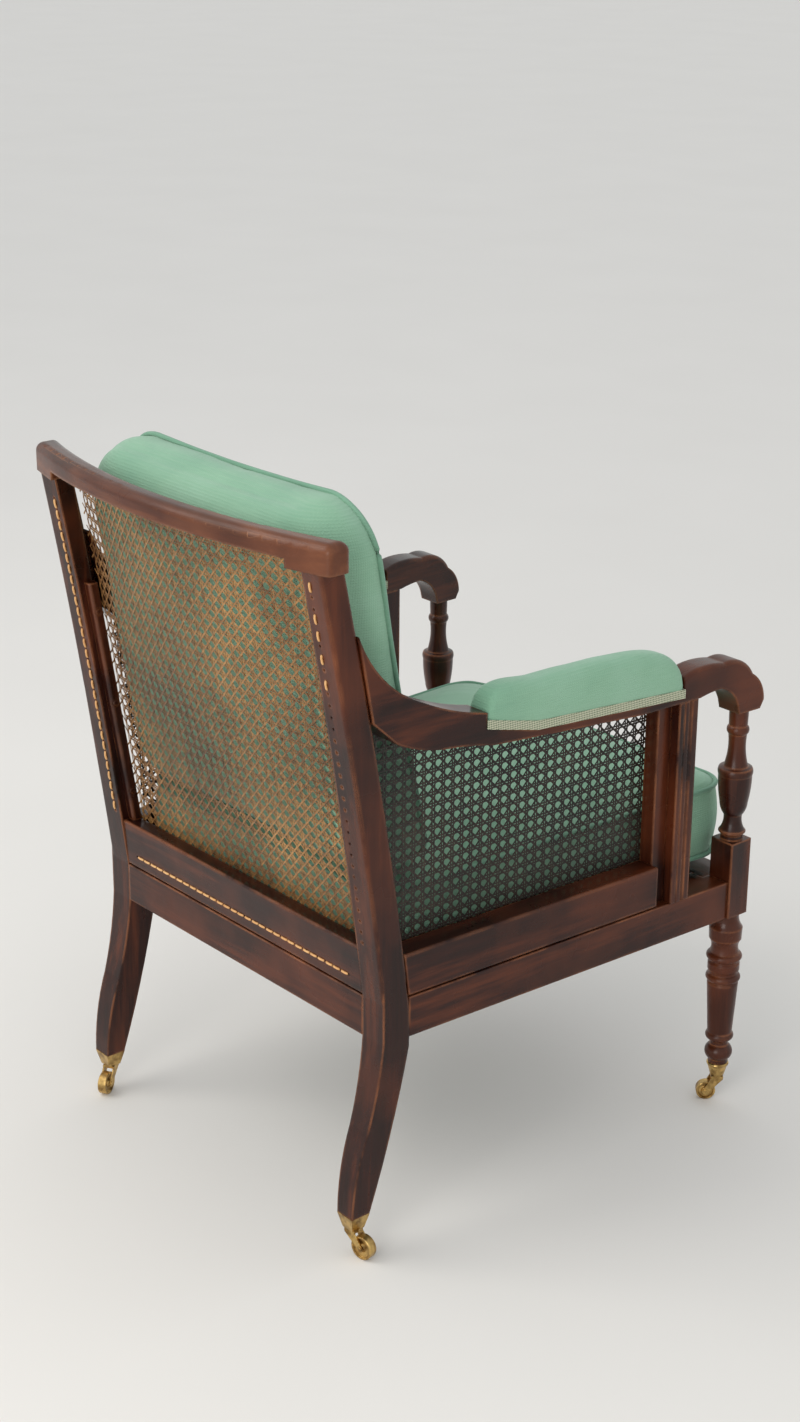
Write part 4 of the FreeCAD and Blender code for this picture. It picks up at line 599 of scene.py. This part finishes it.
@dataclass
class CanePanel(ABC):
    """One panel of six-way cane: upright and level pairs crossed by two sets of diagonals."""

    material: Material
    name: str = ""
    node: str = ""
    slot: str = "cane_side"
    low: Flat = (0.0, 0.0)
    high: Flat = (0.0, 0.0)
    seed: int = 7
    strand: float = 0.0024
    strand_crown: float = 0.00035
    pitch: float = 0.015
    pair_gap: float = 0.0017
    weave_wave: float = 0.00022
    stray: float = 0.00022
    level_depth: float = 0.0005
    diagonal_depths: Flat = (-0.0005, -0.0009)
    diagonal_step: float = 1.4142
    points: list[Vector] = field(default_factory=list)
    faces: list[Face] = field(default_factory=list)

    @abstractmethod
    def place(self, u: float, v: float, depth: float) -> Vector:
        """The point of the chair at u and v on the panel, depth in front of its middle."""

    @abstractmethod
    def inside(self, u: float, v: float) -> bool:
        """Whether cane is laid at u and v."""

    def ribbon(self, run: Sequence[Flat], side: Flat, depth: float) -> None:
        """Adds one strand.

        Args:
            run: the middle of the strand on the panel.
            side: the direction across the strand, on the panel.
            depth: how far it lies in front of the panel's middle.
        """
        first = len(self.points)
        half = self.strand / 2
        for number, (u, v) in enumerate(run):
            lift = depth + self.weave_wave * (1 if number % 2 else -1)
            self.points.append(self.place(u - side[0] * half, v - side[1] * half, lift))
            self.points.append(self.place(u, v, lift + self.strand_crown))
            self.points.append(self.place(u + side[0] * half, v + side[1] * half, lift))
        for number in range(len(run) - 1):
            here = first + 3 * number
            self.faces.append((here, here + 1, here + 4, here + 3))
            self.faces.append((here + 1, here + 2, here + 5, here + 4))

    def lay(self, start: Flat, direction: Flat, length: float, depth: float) -> None:
        """Lays a strand wherever it is inside the panel.

        Args:
            start: where its line starts.
            direction: the way that it runs.
            length: how far its line runs.
            depth: how far it lies in front of the panel's middle.
        """
        side = (-direction[1], direction[0])
        step = self.pitch / 2 * (self.diagonal_step if direction[0] * direction[1] else 1.0)
        shift = random.uniform(-self.stray, self.stray)
        run: list[Flat] = []
        for number in range(int(length / step) + 1):
            u = start[0] + direction[0] * step * number + side[0] * shift
            v = start[1] + direction[1] * step * number + side[1] * shift
            if self.inside(u, v):
                run.append((u, v))
                continue
            if len(run) > 1:
                self.ribbon(run, side, depth)
            run = []
        if len(run) > 1:
            self.ribbon(run, side, depth)

    def build(self) -> None:
        """Weaves the panel, which stands for its node and rides on the frame.

        The diagonals pass between the crossings of the pairs, so a round hole stays open in
        each square.
        """
        random.seed(self.seed)
        u0, v0 = self.low
        wide, tall = self.high[0] - u0, self.high[1] - v0
        columns, rows = int(wide / self.pitch) + 1, int(tall / self.pitch) + 1
        nudges = (-self.pair_gap, self.pair_gap)
        for number in range(columns):
            for nudge in nudges:
                self.lay((u0 + number * self.pitch + nudge, v0), (0.0, 1.0), tall, 0.0)
        for number in range(rows):
            for nudge in nudges:
                self.lay((u0, v0 + number * self.pitch + nudge), (1.0, 0.0), wide, self.level_depth)
        slant = math.sqrt(0.5)
        reach = math.hypot(wide, tall) + self.pitch
        for number in range(-rows, columns + rows):
            start = (u0 + (number + 0.5) * self.pitch, v0)
            for way, depth in zip((slant, -slant), self.diagonal_depths):
                self.lay(start, (way, slant), reach, depth)
        piece = mesh_piece(self.name, self.points, self.faces, self.material)
        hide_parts(self.node)
        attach(piece, "frame")
        LOG.info("cane: %s, %d faces", piece.name, len(self.faces))


@dataclass
class BackCane(CanePanel):
    """The back panel, flat at the lower rail and bowed under the crest rail."""

    name: str = "back_cane_weave"
    node: str = "back_cane"
    slot: str = "cane_back"
    low: Flat = (-0.2475, SIZES.lower_back_top - 0.009)
    high: Flat = (0.2475, SIZES.post_top + 0.019)
    strand: float = 0.0023
    clearance: float = 0.002
    side_lap: float = 0.004
    low_lap: float = 0.006
    top_lap: float = 0.013

    @property
    def flat_half(self) -> float:
        """Half width of the panel between the strips on the posts."""
        return SIZES.rear_half_width - SIZES.post_width - SIZES.strip - self.clearance

    def place(self, u: float, v: float, depth: float) -> Vector:
        """Finds the point of the chair for a place on the panel.

        Args:
            u: across.
            v: up.
            depth: how far in front of the panel's middle.

        Returns:
            The point.
        """
        rise = max(0.0, (v - SIZES.lower_back_top) / (self.high[1] - SIZES.lower_back_top))
        share = min(1.0, abs(u) / self.flat_half)
        bow = SIZES.cane_bow * rise * (1 - share * share)
        return Vector((u, SIZES.cane_y(v) + bow - depth, v))

    def inside(self, u: float, v: float) -> bool:
        """Whether cane is laid at u and v."""
        within = SIZES.lower_back_top - self.low_lap < v < SIZES.post_top + self.top_lap
        return abs(u) < self.flat_half + self.side_lap and within


@dataclass
class SideCane(CanePanel):
    """A side panel on the inner faces of the splayed side frame. Its u is the chair's y."""

    side: Side = Side.LEFT
    low: Flat = (-0.2095, 0.3905)
    high: Flat = (0.285, 0.715)
    lap: float = 0.006
    top_lap: float = 0.005
    post_clearance: float = 0.001
    arm_line: tuple[Flat, ...] = (
        (-0.21, SIZES.arm_soffit),
        (-0.1515, SIZES.arm_soffit),
        (SIZES.pad_rear - 0.010, SIZES.arm_soffit + 0.0175),
        (SIZES.pad_rear + 0.058, SIZES.arm_soffit + 0.0295),
        (SIZES.pad_rear + 0.135, SIZES.arm_soffit + 0.0525),
        (SIZES.pad_rear + 0.180, SIZES.arm_soffit + 0.086),
    )

    def __post_init__(self) -> None:
        """Names the panel after its side."""
        self.name = "side_cane_weave_" + self.side.word
        self.node = "side_cane_" + self.side.word

    def place(self, u: float, v: float, depth: float) -> Vector:
        """The point of the chair at y = u and z = v, depth outside the panel's middle."""
        x = SIZES.outer_x(u) - SIZES.side_frame - SIZES.cane_half + depth
        return Vector((self.side.value * x, u, v))

    def inside(self, u: float, v: float) -> bool:
        """Whether cane is laid at a place.

        Args:
            u: the place along the side.
            v: the height.

        Returns:
            True between the stile, the post, the lower rail and the arm.
        """
        if u < SIZES.stile_rear - self.lap or v < SIZES.lower_side_top - self.lap:
            return False
        if u > SIZES.post_front_y(v) - self.post_clearance:
            return False
        for (y0, z0), (y1, z1) in zip(self.arm_line, self.arm_line[1:]):
            if y0 <= u <= y1:
                return v < z0 + (z1 - z0) * (u - y0) / (y1 - y0) + self.top_lap
        return False


@dataclass
class SeatCane(CanePanel):
    """The seat panel, which shows from below. Its u and v are the chair's x and y."""

    name: str = "seat_cane_weave"
    node: str = "seat_cane"
    low: Flat = (-0.285, -0.3375)
    high: Flat = (0.285, 0.2325)
    rear: float = 0.222
    front: float = -0.328
    lift: float = 0.0011
    clearance: float = 0.002

    def place(self, u: float, v: float, depth: float) -> Vector:
        """The point of the chair at x = u and y = v, depth above the panel's middle."""
        return Vector((u, v, SIZES.seat_top + self.lift + depth))

    def inside(self, u: float, v: float) -> bool:
        """Whether cane is laid at u and v."""
        return self.front < v < self.rear and abs(u) < SIZES.outer_x(v) - SIZES.side_frame - self.clearance


@dataclass
class Stitches:
    """The golden loops that hold the back cane: all along the left post and the lower rail.

    On the right post only a few repaired ones are left.
    """

    material: Material
    radius: float = 0.0016
    length: float = 0.0115
    rise: float = 0.0014
    sink: float = 0.0006
    steps: int = 4
    sides: int = 6
    seed: int = 31
    hole_x: float = 0.262
    hole_pitch: float = 0.015
    hole_low: float = 0.423
    count: int = 30
    lean: float = 0.07
    rail_start: float = -0.2175
    rail_height: float = 0.3634
    rail_rake: float = 0.0017
    rail_stray: float = 0.0006
    repaired_heights: tuple[float, ...] = (0.885, 0.846, 0.825, 0.796, 0.764)

    def loop(self, middle: Vector, run: Vector) -> Shape:
        """One stitch, which rises from a hole and goes down in the next.

        Args:
            middle: the point on the wood under its middle.
            run: the direction from one hole to the next.

        Returns:
            Its points and faces.
        """
        out = Vector((0, 1, 0))
        path = []
        for step in range(-self.steps, self.steps + 1):
            share = step / self.steps
            path.append(middle + run * (share * self.length / 2)
                        + out * (self.rise * (1 - share ** 4) - self.sink))
        return tube(path, self.radius, False, self.sides)

    def on_post(self, side: Side, z: float, lean: float) -> Shape:
        """A stitch on a post's rear face at height z, leaning sideways."""
        middle = Vector((side.value * self.hole_x, SIZES.post_rear_y(z), z))
        return self.loop(middle, SIZES.post_run(z) + Vector((lean, 0, 0)))

    def on_rail(self, x: float) -> Shape:
        """A stitch on the lower back rail at x."""
        middle = Vector((x, SIZES.rear_face + self.rail_rake, self.rail_height))
        return self.loop(middle, Vector((1, 0, 0)))

    def build(self) -> None:
        """Makes all the stitches as one piece that rides on the frame."""
        random.seed(self.seed)
        loops = []
        for number in range(self.count):
            height = self.hole_low + self.hole_pitch * (number + 0.5)
            loops.append(self.on_post(Side.LEFT, height, random.uniform(-self.lean, self.lean)))
            stray = random.uniform(-self.rail_stray, self.rail_stray)
            loops.append(self.on_rail(self.rail_start + self.hole_pitch * number + stray))
        loops += [self.on_post(Side.RIGHT, height, 0.0) for height in self.repaired_heights]
        points: list[Vector] = []
        faces: list[Face] = []
        for more_points, more_faces in loops:
            first = len(points)
            points += more_points
            faces += [[first + number for number in face] for face in more_faces]
        piece = mesh_piece("cane_stitches", points, faces, self.material)
        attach(piece, "frame")
        LOG.info("stitches: %d loops", len(loops))


@dataclass(frozen=True)
class Level:
    """One ring round a cushion: its height, how far inside the seam it lies, and its draw."""

    height: float
    inset: float
    draw: float


@dataclass
class Cushion:
    """A boxed cushion with piped seams, a crown on both faces and drawn-in sides.

    In its own space u runs across, v along and w through it, from its rear or lower face. With
    soft_rear that face has no seam and rounds over into the wall.
    """

    name: str
    corners: tuple[Flat, Flat, Flat, Flat]
    radii: tuple[float, float, float, float]
    low_crown: float
    wall: float
    crown: float
    finishes: Finishes
    seed: float
    bulge: float = 0.0045
    draw: float = 0.005
    wall_draw_loss: float = 0.7
    crown_power: float = 2.6
    reach: float = 0.130
    corner_growth: float = 0.15
    piping_radius: float = 0.0034
    piping_out: float = 0.0012
    around: int = 168
    wall_steps: int = 12
    crown_steps: int = 12
    round_steps: int = 14
    soft_rear: bool = False
    round_depth: float = 0.050
    round_reach: float = 0.060
    taper: float = 0.0
    rear_gap: float = 0.0
    lump: float = 0.0022
    lump_scale: float = 9.0
    crease: float = 0.0011
    crease_scale: Flat = (95.0, 12.0)
    crease_start: float = 0.003
    crease_reach: float = 0.022
    girth: float = 2.2
    wobble: float = 0.0009

    @property
    def high_seam(self) -> float:
        """Height of the upper or front seam."""
        return self.low_crown + self.wall

    def outline(self, inset: float, draw: float) -> list[Flat]:
        """Points round the cushion, as many in each side and corner.

        Args:
            inset: how far the whole outline lies inside the seam.
            draw: how far each side is pulled in between its corners.

        Returns:
            The points, anticlockwise.
        """
        middle_u = sum(corner[0] for corner in self.corners) / 4
        middle_v = sum(corner[1] for corner in self.corners) / 4
        moved = [Vector((u - inset * math.copysign(1.0, u - middle_u),
                         v - inset * math.copysign(1.0, v - middle_v))) for u, v in self.corners]
        per_side = self.around // 4
        curve, straight = per_side // 3, per_side - per_side // 3
        turns = [math.pi / 2 * step / curve for step in range(curve)]
        radii = [radius + self.corner_growth * max(inset, 0.0) for radius in self.radii]
        points: list[Flat] = []
        for number, here in enumerate(moved):
            before, after = moved[number - 1], moved[(number + 1) % 4]
            to_before, to_after = (before - here).normalized(), (after - here).normalized()
            radius = radii[number]
            hub = here + (to_before + to_after) * radius
            points += [tuple(hub - to_after * (radius * math.cos(turn))
                             - to_before * (radius * math.sin(turn))) for turn in turns]
            start = here + to_after * radius
            end = after - to_after * radii[(number + 1) % 4]
            inward = Vector((-to_after.y, to_after.x))
            for step in range(straight):
                share = step / straight
                pull = draw * 4 * share * (1 - share)
                points.append(tuple(start.lerp(end, share) + inward * pull))
        return points

    def crown_levels(self, seam: float, height: float) -> list[Level]:
        """Levels of a crown, from its seam to its flat middle, height above the seam."""
        shares = [step / self.crown_steps for step in range(1, self.crown_steps + 1)]
        return [Level(seam + height * (1 - (1 - share) ** self.crown_power), self.reach * share,
                      self.draw * (1 - share)) for share in shares]

    def soft_levels(self) -> list[Level]:
        """Levels of a face with no seam.

        Returns:
            The levels, from the wall to the flat middle.
        """
        shares = [step / self.round_steps for step in range(1, self.round_steps + 1)]
        return [Level(self.round_depth * (1 - math.sin(math.pi / 2 * share)),
                      self.round_reach * (1 - math.cos(math.pi / 2 * share)),
                      self.draw * (1 - share)) for share in shares] + [Level(0.0, self.reach, 0.0)]

    def levels(self) -> list[Level]:
        """All levels, from the middle of one face round the wall to the middle of the other.

        Returns:
            The levels.
        """
        start = self.round_depth if self.soft_rear else self.low_crown
        rear = self.soft_levels() if self.soft_rear else self.crown_levels(start, -self.low_crown)
        levels = rear[::-1]
        for step in range(self.wall_steps + 1):
            share = step / self.wall_steps
            swell = math.sin(math.pi * share)
            levels.append(Level(start + (self.high_seam - start) * share, -self.bulge * swell,
                                self.draw * (1 - self.wall_draw_loss * swell)))
        return levels + self.crown_levels(self.high_seam, self.crown)

    def settle(self, u: float, v: float, w: float) -> Vector:
        """Moves a point as the filling has sunk, which leaves the far end thinner.

        Args:
            u: across.
            v: along.
            w: through.

        Returns:
            The settled point, clear of what the cushion leans on.
        """
        tall = self.corners[2][1] - self.corners[0][1]
        sunk = w * (1 - self.taper * max(0.0, v) / tall)
        return Vector((u, v, max(sunk, self.rear_gap) if self.soft_rear else sunk))

    def cloth_point(self, u: float, v: float, level: Level, along: float) -> Vector:
        """A point of the cover, with its soft lumps and the creases that leave the seams.

        Args:
            u: across.
            v: along.
            level: the ring that the point is on.
            along: the place round the ring, in metres.

        Returns:
            The point, before it settles.
        """
        w = level.height
        low_distance = 1.0 if self.soft_rear else abs(w - self.low_crown)
        seam_distance = min(low_distance, abs(w - self.high_seam)) + max(level.inset, 0.0)
        scale, (fine, coarse) = self.lump_scale, self.crease_scale
        lumps = self.lump * noise.noise(Vector((u * scale, v * scale, w * scale + self.seed)))
        creases = noise.noise(Vector((along * fine, self.seed * 3, w * coarse)))
        fade = math.exp(-seam_distance / self.crease_reach)
        fade *= min(1.0, seam_distance / self.crease_start)
        out = lumps + self.crease * creases * fade
        if level.inset <= 1e-6:
            grow = 1 + out / max(abs(u), abs(v), 0.1)
            return Vector((u * grow, v * grow if abs(v) > 0.02 else v, w))
        dip = math.copysign(min(out, 0.0), w - self.low_crown)
        return Vector((u, v, w + dip + 0.4 * out))

    def skin(self) -> Shape:
        """The whole cover: its rings, and a fan of faces in the middle of each face.

        Returns:
            Its points and faces.
        """
        levels = self.levels()
        points = [self.cloth_point(u, v, level, number / self.around * self.girth)
                  for level in levels for number, (u, v) in enumerate(self.outline(level.inset, level.draw))]
        faces = ring_faces(len(levels), self.around)
        for ring in (0, len(levels) - 1):
            first = ring * self.around
            points.append(sum(points[first:first + self.around], Vector()) / self.around)
            hub = len(points) - 1
            for k in range(self.around):
                pair = (first + k, first + (k + 1) % self.around)
                faces.append((hub, *pair) if ring else (hub, pair[1], pair[0]))
        return [self.settle(*point) for point in points], faces

    def piping(self, word: str, seam: float, placing: Matrix) -> bpy.types.Object:
        """The piping of one seam.

        Args:
            word: which seam it is.
            seam: the seam's height.
            placing: from the cushion's own space to the chair.

        Returns:
            The piping.
        """
        path = []
        for number, (u, v) in enumerate(self.outline(-self.piping_out, self.draw)):
            stray = self.wobble * noise.noise(Vector((number * 0.21, seam * 40, self.seed)))
            path.append(placing @ self.settle(u, v, seam + stray))
        name = "%s_piping_%s" % (self.name, word)
        return mesh_piece(name, *tube(path, self.piping_radius, True, 8), self.finishes["piping_cotton"])

    def build(self, placing: Matrix, nodes: Sequence[str]) -> None:
        """Makes the cushion with its piping, which rides on the body of the same name.

        Args:
            placing: from the cushion's own space to the chair.
            nodes: the solids that it stands for.
        """
        points, faces = self.skin()
        placed = [placing @ point for point in points]
        body = mesh_piece(self.name, placed, faces, self.finishes["ribbed_cotton"])
        seams = [("upper", self.high_seam)]
        if not self.soft_rear:
            seams.insert(0, ("lower", self.low_crown))
        pieces = [body] + [self.piping(word, seam, placing) for word, seam in seams]
        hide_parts(*nodes)
        for piece in pieces:
            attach(piece, self.name)
        LOG.info("cushion: %s with %d piped seams", body.name, len(seams))


@dataclass
class Cushions:
    """The two loose cushions and where they lie."""

    finishes: Finishes
    seat_lift: float = 0.0028
    back_low_points: tuple[Flat, ...] = ((0.135, 0.0), (0.0, 0.030), (0.005, 0.108), (0.479, 0.108))
    back_rear_points: tuple[Flat, ...] = ((0.349, 0.0), (0.479, 0.020), (0.484, 0.060))

    def seat(self) -> None:
        """The deep seat cushion, flat on the seat cane."""
        corners = ((-0.262, -0.379), (0.262, -0.379), (0.246, 0.221), (-0.246, 0.221))
        cushion = Cushion("seat_cushion", corners, (0.042, 0.042, 0.042, 0.042), low_crown=0.018,
                          wall=0.097, crown=0.030, finishes=self.finishes, seed=1.7)
        placing = Matrix.Translation((0, 0, SIZES.seat_top + self.seat_lift))
        cushion.build(placing, ("seat_cushion_cover", "seat_cushion_filling"))

    def back(self) -> None:
        """The back cushion, which leans on the cane and stands on the seat cushion.

        It is placed by its solid's box. The points of the solid's side view that can be its
        lowest and its rearmost say how far that box lies from the cushion's own zero.
        """
        corners = ((-0.243, 0.005), (0.243, 0.005), (0.243, 0.476), (-0.243, 0.476))
        cushion = Cushion("back_cushion", corners, (0.034, 0.034, 0.072, 0.072), low_crown=0.020,
                          wall=0.088, crown=0.028, finishes=self.finishes, seed=4.1, soft_rear=True,
                          taper=0.16, rear_gap=0.005)
        turned = Matrix.Rotation(math.pi / 2 - SIZES.cane_lean, 4, "X")
        low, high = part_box("back_cushion_cover")
        rear = high[1] - max((turned @ Vector((0, v, w))).y for v, w in self.back_rear_points)
        base = low[2] - min((turned @ Vector((0, v, w))).z for v, w in self.back_low_points)
        placing = Matrix.Translation((0, rear, base)) @ turned
        cushion.build(placing, ("back_cushion_cover", "back_cushion_filling"))

    def build(self) -> None:
        """Makes both cushions."""
        self.seat()
        self.back()


@dataclass
class ArmPad:
    """A stuffed pad on an arm: straight low walls, a round crown, fuller in the middle.

    Each of its stations is a share of its length from the rear, with the height of its crown
    and its width there, as shares of the most.
    """

    side: Side
    fabric: Material
    stations: tuple[Point, ...] = (
        (0.0, 0.34, 0.86), (0.02, 0.58, 0.93), (0.06, 0.75, 0.98), (0.14, 0.86, 1.0), (0.30, 0.94, 1.0),
        (0.55, 1.0, 1.0), (0.76, 1.0, 1.0), (0.87, 0.94, 0.99), (0.945, 0.80, 0.97), (0.985, 0.60, 0.92),
        (1.0, 0.38, 0.84),
    )
    rings: int = 61
    around: int = 36
    end_gap: float = 0.0022
    side_gap: float = 0.0004
    foot_gap: float = 0.0005
    height: float = 0.069
    fullness: float = 0.2
    side_power: float = 0.55
    top_power: float = 0.62
    gather: float = 0.0008
    gather_height: float = 0.02
    gather_scale: float = 130.0
    lump_scale: float = 30.0
    foot_height: float = 0.648
    rear_length: float = 0.080
    rear_climb: float = 0.019
    front_fall: float = 0.015

    def foot(self, y: float) -> float:
        """Height of the wood under the pad.

        Args:
            y: the place along the arm.

        Returns:
            The height.
        """
        middle = SIZES.pad_rear - self.rear_length
        if y > middle:
            return self.foot_height + self.rear_climb * (y - middle) / self.rear_length
        return self.foot_height - self.front_fall * (middle - y) / (middle - SIZES.pad_front)

    def fullness_at(self, share: float) -> Flat:
        """Crown and width on a smooth curve through the stations.

        Args:
            share: the place along the pad, from 0 at its rear to 1.

        Returns:
            The crown and the width, as shares of the most.
        """
        last = len(self.stations) - 1
        number = next((n for n in range(last) if share <= self.stations[n + 1][0] + 1e-9), last - 1)
        first, second = self.stations[number], self.stations[number + 1]
        before, after = self.stations[max(0, number - 1)], self.stations[min(last, number + 2)]
        span = second[0] - first[0]
        part = (share - first[0]) / span
        values = []
        for key in (1, 2):
            leave = (second[key] - before[key]) / (second[0] - before[0]) * span
            arrive = (after[key] - first[key]) / (after[0] - first[0]) * span
            values.append((2 * part ** 3 - 3 * part ** 2 + 1) * first[key]
                          + (part ** 3 - 2 * part ** 2 + part) * leave
                          + (3 * part ** 2 - 2 * part ** 3) * second[key]
                          + (part ** 3 - part ** 2) * arrive)
        return values[0], values[1]

    def ring(self, share: float) -> list[Vector]:
        """One section of the pad.

        Args:
            share: the place along the pad, from 0 at its rear to 1.

        Returns:
            The section's points.
        """
        crown, width = self.fullness_at(share)
        rear, front = SIZES.pad_rear - self.end_gap, SIZES.pad_front + self.end_gap
        y = rear + (front - rear) * share
        half_frame = SIZES.side_frame / 2
        x = self.side.value * (SIZES.outer_x(y) - half_frame)
        foot = self.foot(y) + self.foot_gap
        half = (half_frame - self.side_gap) * width
        points = []
        for number in range(self.around):
            turn = -math.pi / 2 + 2 * math.pi * (number + 0.5) / self.around
            across, up = math.cos(turn), math.sin(turn)
            belly = math.sin(math.pi * min(1.0, max(0.0, (up + 1) / 2)) ** 0.9)
            swell = 1 + self.fullness * belly * crown
            px = math.copysign(abs(across) ** self.side_power, across) * half * swell
            pz = (0.5 + 0.5 * math.copysign(abs(up) ** self.top_power, up)) * self.height * crown
            pleats = noise.noise(Vector((number * 0.9, y * self.gather_scale, 2.0)))
            pull = self.gather * pleats * math.exp(-pz / self.gather_height)
            lump = self.gather * noise.noise(Vector((y * self.lump_scale, px * self.lump_scale, 5)))
            points.append(Vector((x + px + pull, y, foot + pz + lump)))
        return points

    def build(self) -> None:
        """Makes the pad, which rides on the frame. Its sections stand closer near its ends."""
        points: list[Vector] = []
        for step in range(self.rings):
            points += self.ring(0.5 - 0.5 * math.cos(math.pi * step / (self.rings - 1)))
        faces = ring_faces(self.rings, self.around)
        faces.append(tuple(reversed(range(self.around))))
        faces.append(tuple(range((self.rings - 1) * self.around, self.rings * self.around)))
        piece = mesh_piece("arm_pad_" + self.side.word, points, faces, self.fabric)
        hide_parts("arm_pad_cover_" + self.side.word, "arm_pad_stuffing_" + self.side.word)
        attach(piece, "frame")
        LOG.info("arm pad: %s", piece.name)


@dataclass(frozen=True)
class Lamp:
    """A square lamp that faces the chair's middle."""

    name: str
    place: Point
    size: float
    power: float
    colour: Colour
    aim_height: float = 0.5

    def build(self) -> None:
        """Hangs the lamp."""
        data = bpy.data.lights.new(self.name, "AREA")
        data.size = self.size
        data.energy = self.power
        data.color = self.colour
        item = bpy.data.objects.new(self.name, data)
        aim = Vector((0, 0, self.aim_height)) - Vector(self.place)
        turned = aim.to_track_quat("-Z", "Y").to_matrix().to_4x4()
        item.matrix_world = Matrix.Translation(self.place) @ turned
        bpy.context.scene.collection.objects.link(item)


@dataclass(frozen=True)
class Studio:
    """The floor, the light, and the camera at the place that was solved from the photograph."""

    camera_place: Point = (-2.21783, 1.89062, 1.68767)
    camera_right: Point = (-0.65009, -0.75983, 0.00678)
    camera_up: Point = (0.27431, -0.22636, 0.93462)
    camera_back: Point = (-0.70861, 0.60944, 0.35559)
    lens: float = 59.72
    sensor: float = 36.0
    floor_reach: float = 80.0
    floor_tones: tuple[Colour, Colour] = ((0.74, 0.72, 0.68), (0.76, 0.74, 0.70))
    sky: float = 0.88
    sky_colour: Colour = (0.95, 0.97, 1.0)
    backdrop: Colour = (0.80, 0.83, 0.82)
    lamps: tuple[Lamp, ...] = (
        Lamp("key", (1.5, 2.3, 2.9), 2.2, 42.0, (1.0, 0.97, 0.93)),
        Lamp("fill", (-1.5, 2.9, 1.3), 1.5, 34.0, (1.0, 0.98, 0.95)),
    )

    def camera(self) -> None:
        """Makes the camera."""
        data = bpy.data.cameras.new("camera")
        data.lens = self.lens
        data.sensor_width = self.sensor
        item = bpy.data.objects.new("camera", data)
        turned = Matrix((self.camera_right, self.camera_up, self.camera_back)).transposed().to_4x4()
        item.matrix_world = Matrix.Translation(self.camera_place) @ turned
        bpy.context.scene.collection.objects.link(item)
        bpy.context.scene.camera = item

    def floor(self) -> None:
        """Lays a plain pale floor."""
        made = Recipe("pale_floor", 0.9)
        darker, paler = self.floor_tones
        colour = made.ramp(made.noise(2.0, 2.0), [(0.2, darker), (0.8, paler)])
        far = self.floor_reach
        corners = [(-far, -far, 0), (far, -far, 0), (far, far, 0), (-far, far, 0)]
        mesh_piece("floor", corners, [(0, 1, 2, 3)], made.finish(colour), False)

    def world(self) -> None:
        """Lights the chair from all round, and shows a plain backdrop to the camera and in gloss."""
        world = bpy.data.worlds.new("studio")
        world.use_nodes = True
        nodes, links = world.node_tree.nodes, world.node_tree.links
        light = nodes["Background"]
        light.inputs["Color"].default_value = (*self.sky_colour, 1.0)
        light.inputs["Strength"].default_value = self.sky
        seen = nodes.new("ShaderNodeBackground")
        seen.inputs["Color"].default_value = (*self.backdrop, 1.0)
        rays = nodes.new("ShaderNodeLightPath")
        seen_by = rays.outputs["Is Camera Ray"]
        for kind in ("Is Glossy Ray", "Is Transmission Ray"):
            either = nodes.new("ShaderNodeMath")
            either.operation = "MAXIMUM"
            links.new(seen_by, either.inputs[0])
            links.new(rays.outputs[kind], either.inputs[1])
            seen_by = either.outputs[0]
        pick = nodes.new("ShaderNodeMixShader")
        links.new(seen_by, pick.inputs["Fac"])
        links.new(light.outputs["Background"], pick.inputs[1])
        links.new(seen.outputs["Background"], pick.inputs[2])
        links.new(pick.outputs["Shader"], nodes["World Output"].inputs["Surface"])
        bpy.context.scene.world = world

    def build(self) -> None:
        """Makes the floor, the lamps, the sky and the camera."""
        bpy.context.scene.view_settings.view_transform = "Standard"
        self.floor()
        for lamp in self.lamps:
            lamp.build()
        self.world()
        self.camera()


def main() -> None:
    """Builds the chair's pieces in order."""
    logging.basicConfig(level=logging.INFO, format="%(name)s %(message)s")
    Studio().build()
    finishes = {finish.name: finish.build() for finish in FINISHES}
    WoodAndMetal(finishes).dress()
    BackCane(finishes["cane_golden"]).build()
    for side in Side:
        SideCane(finishes["cane_dark"], seed=11 + side.value, side=side).build()
    SeatCane(finishes["cane_dark"], seed=23).build()
    Stitches(finishes["cane_stitch"]).build()
    Cushions(finishes).build()
    for side in Side:
        ArmPad(side, finishes["ribbed_cotton"]).build()


if __name__ == "__main__":
    main()
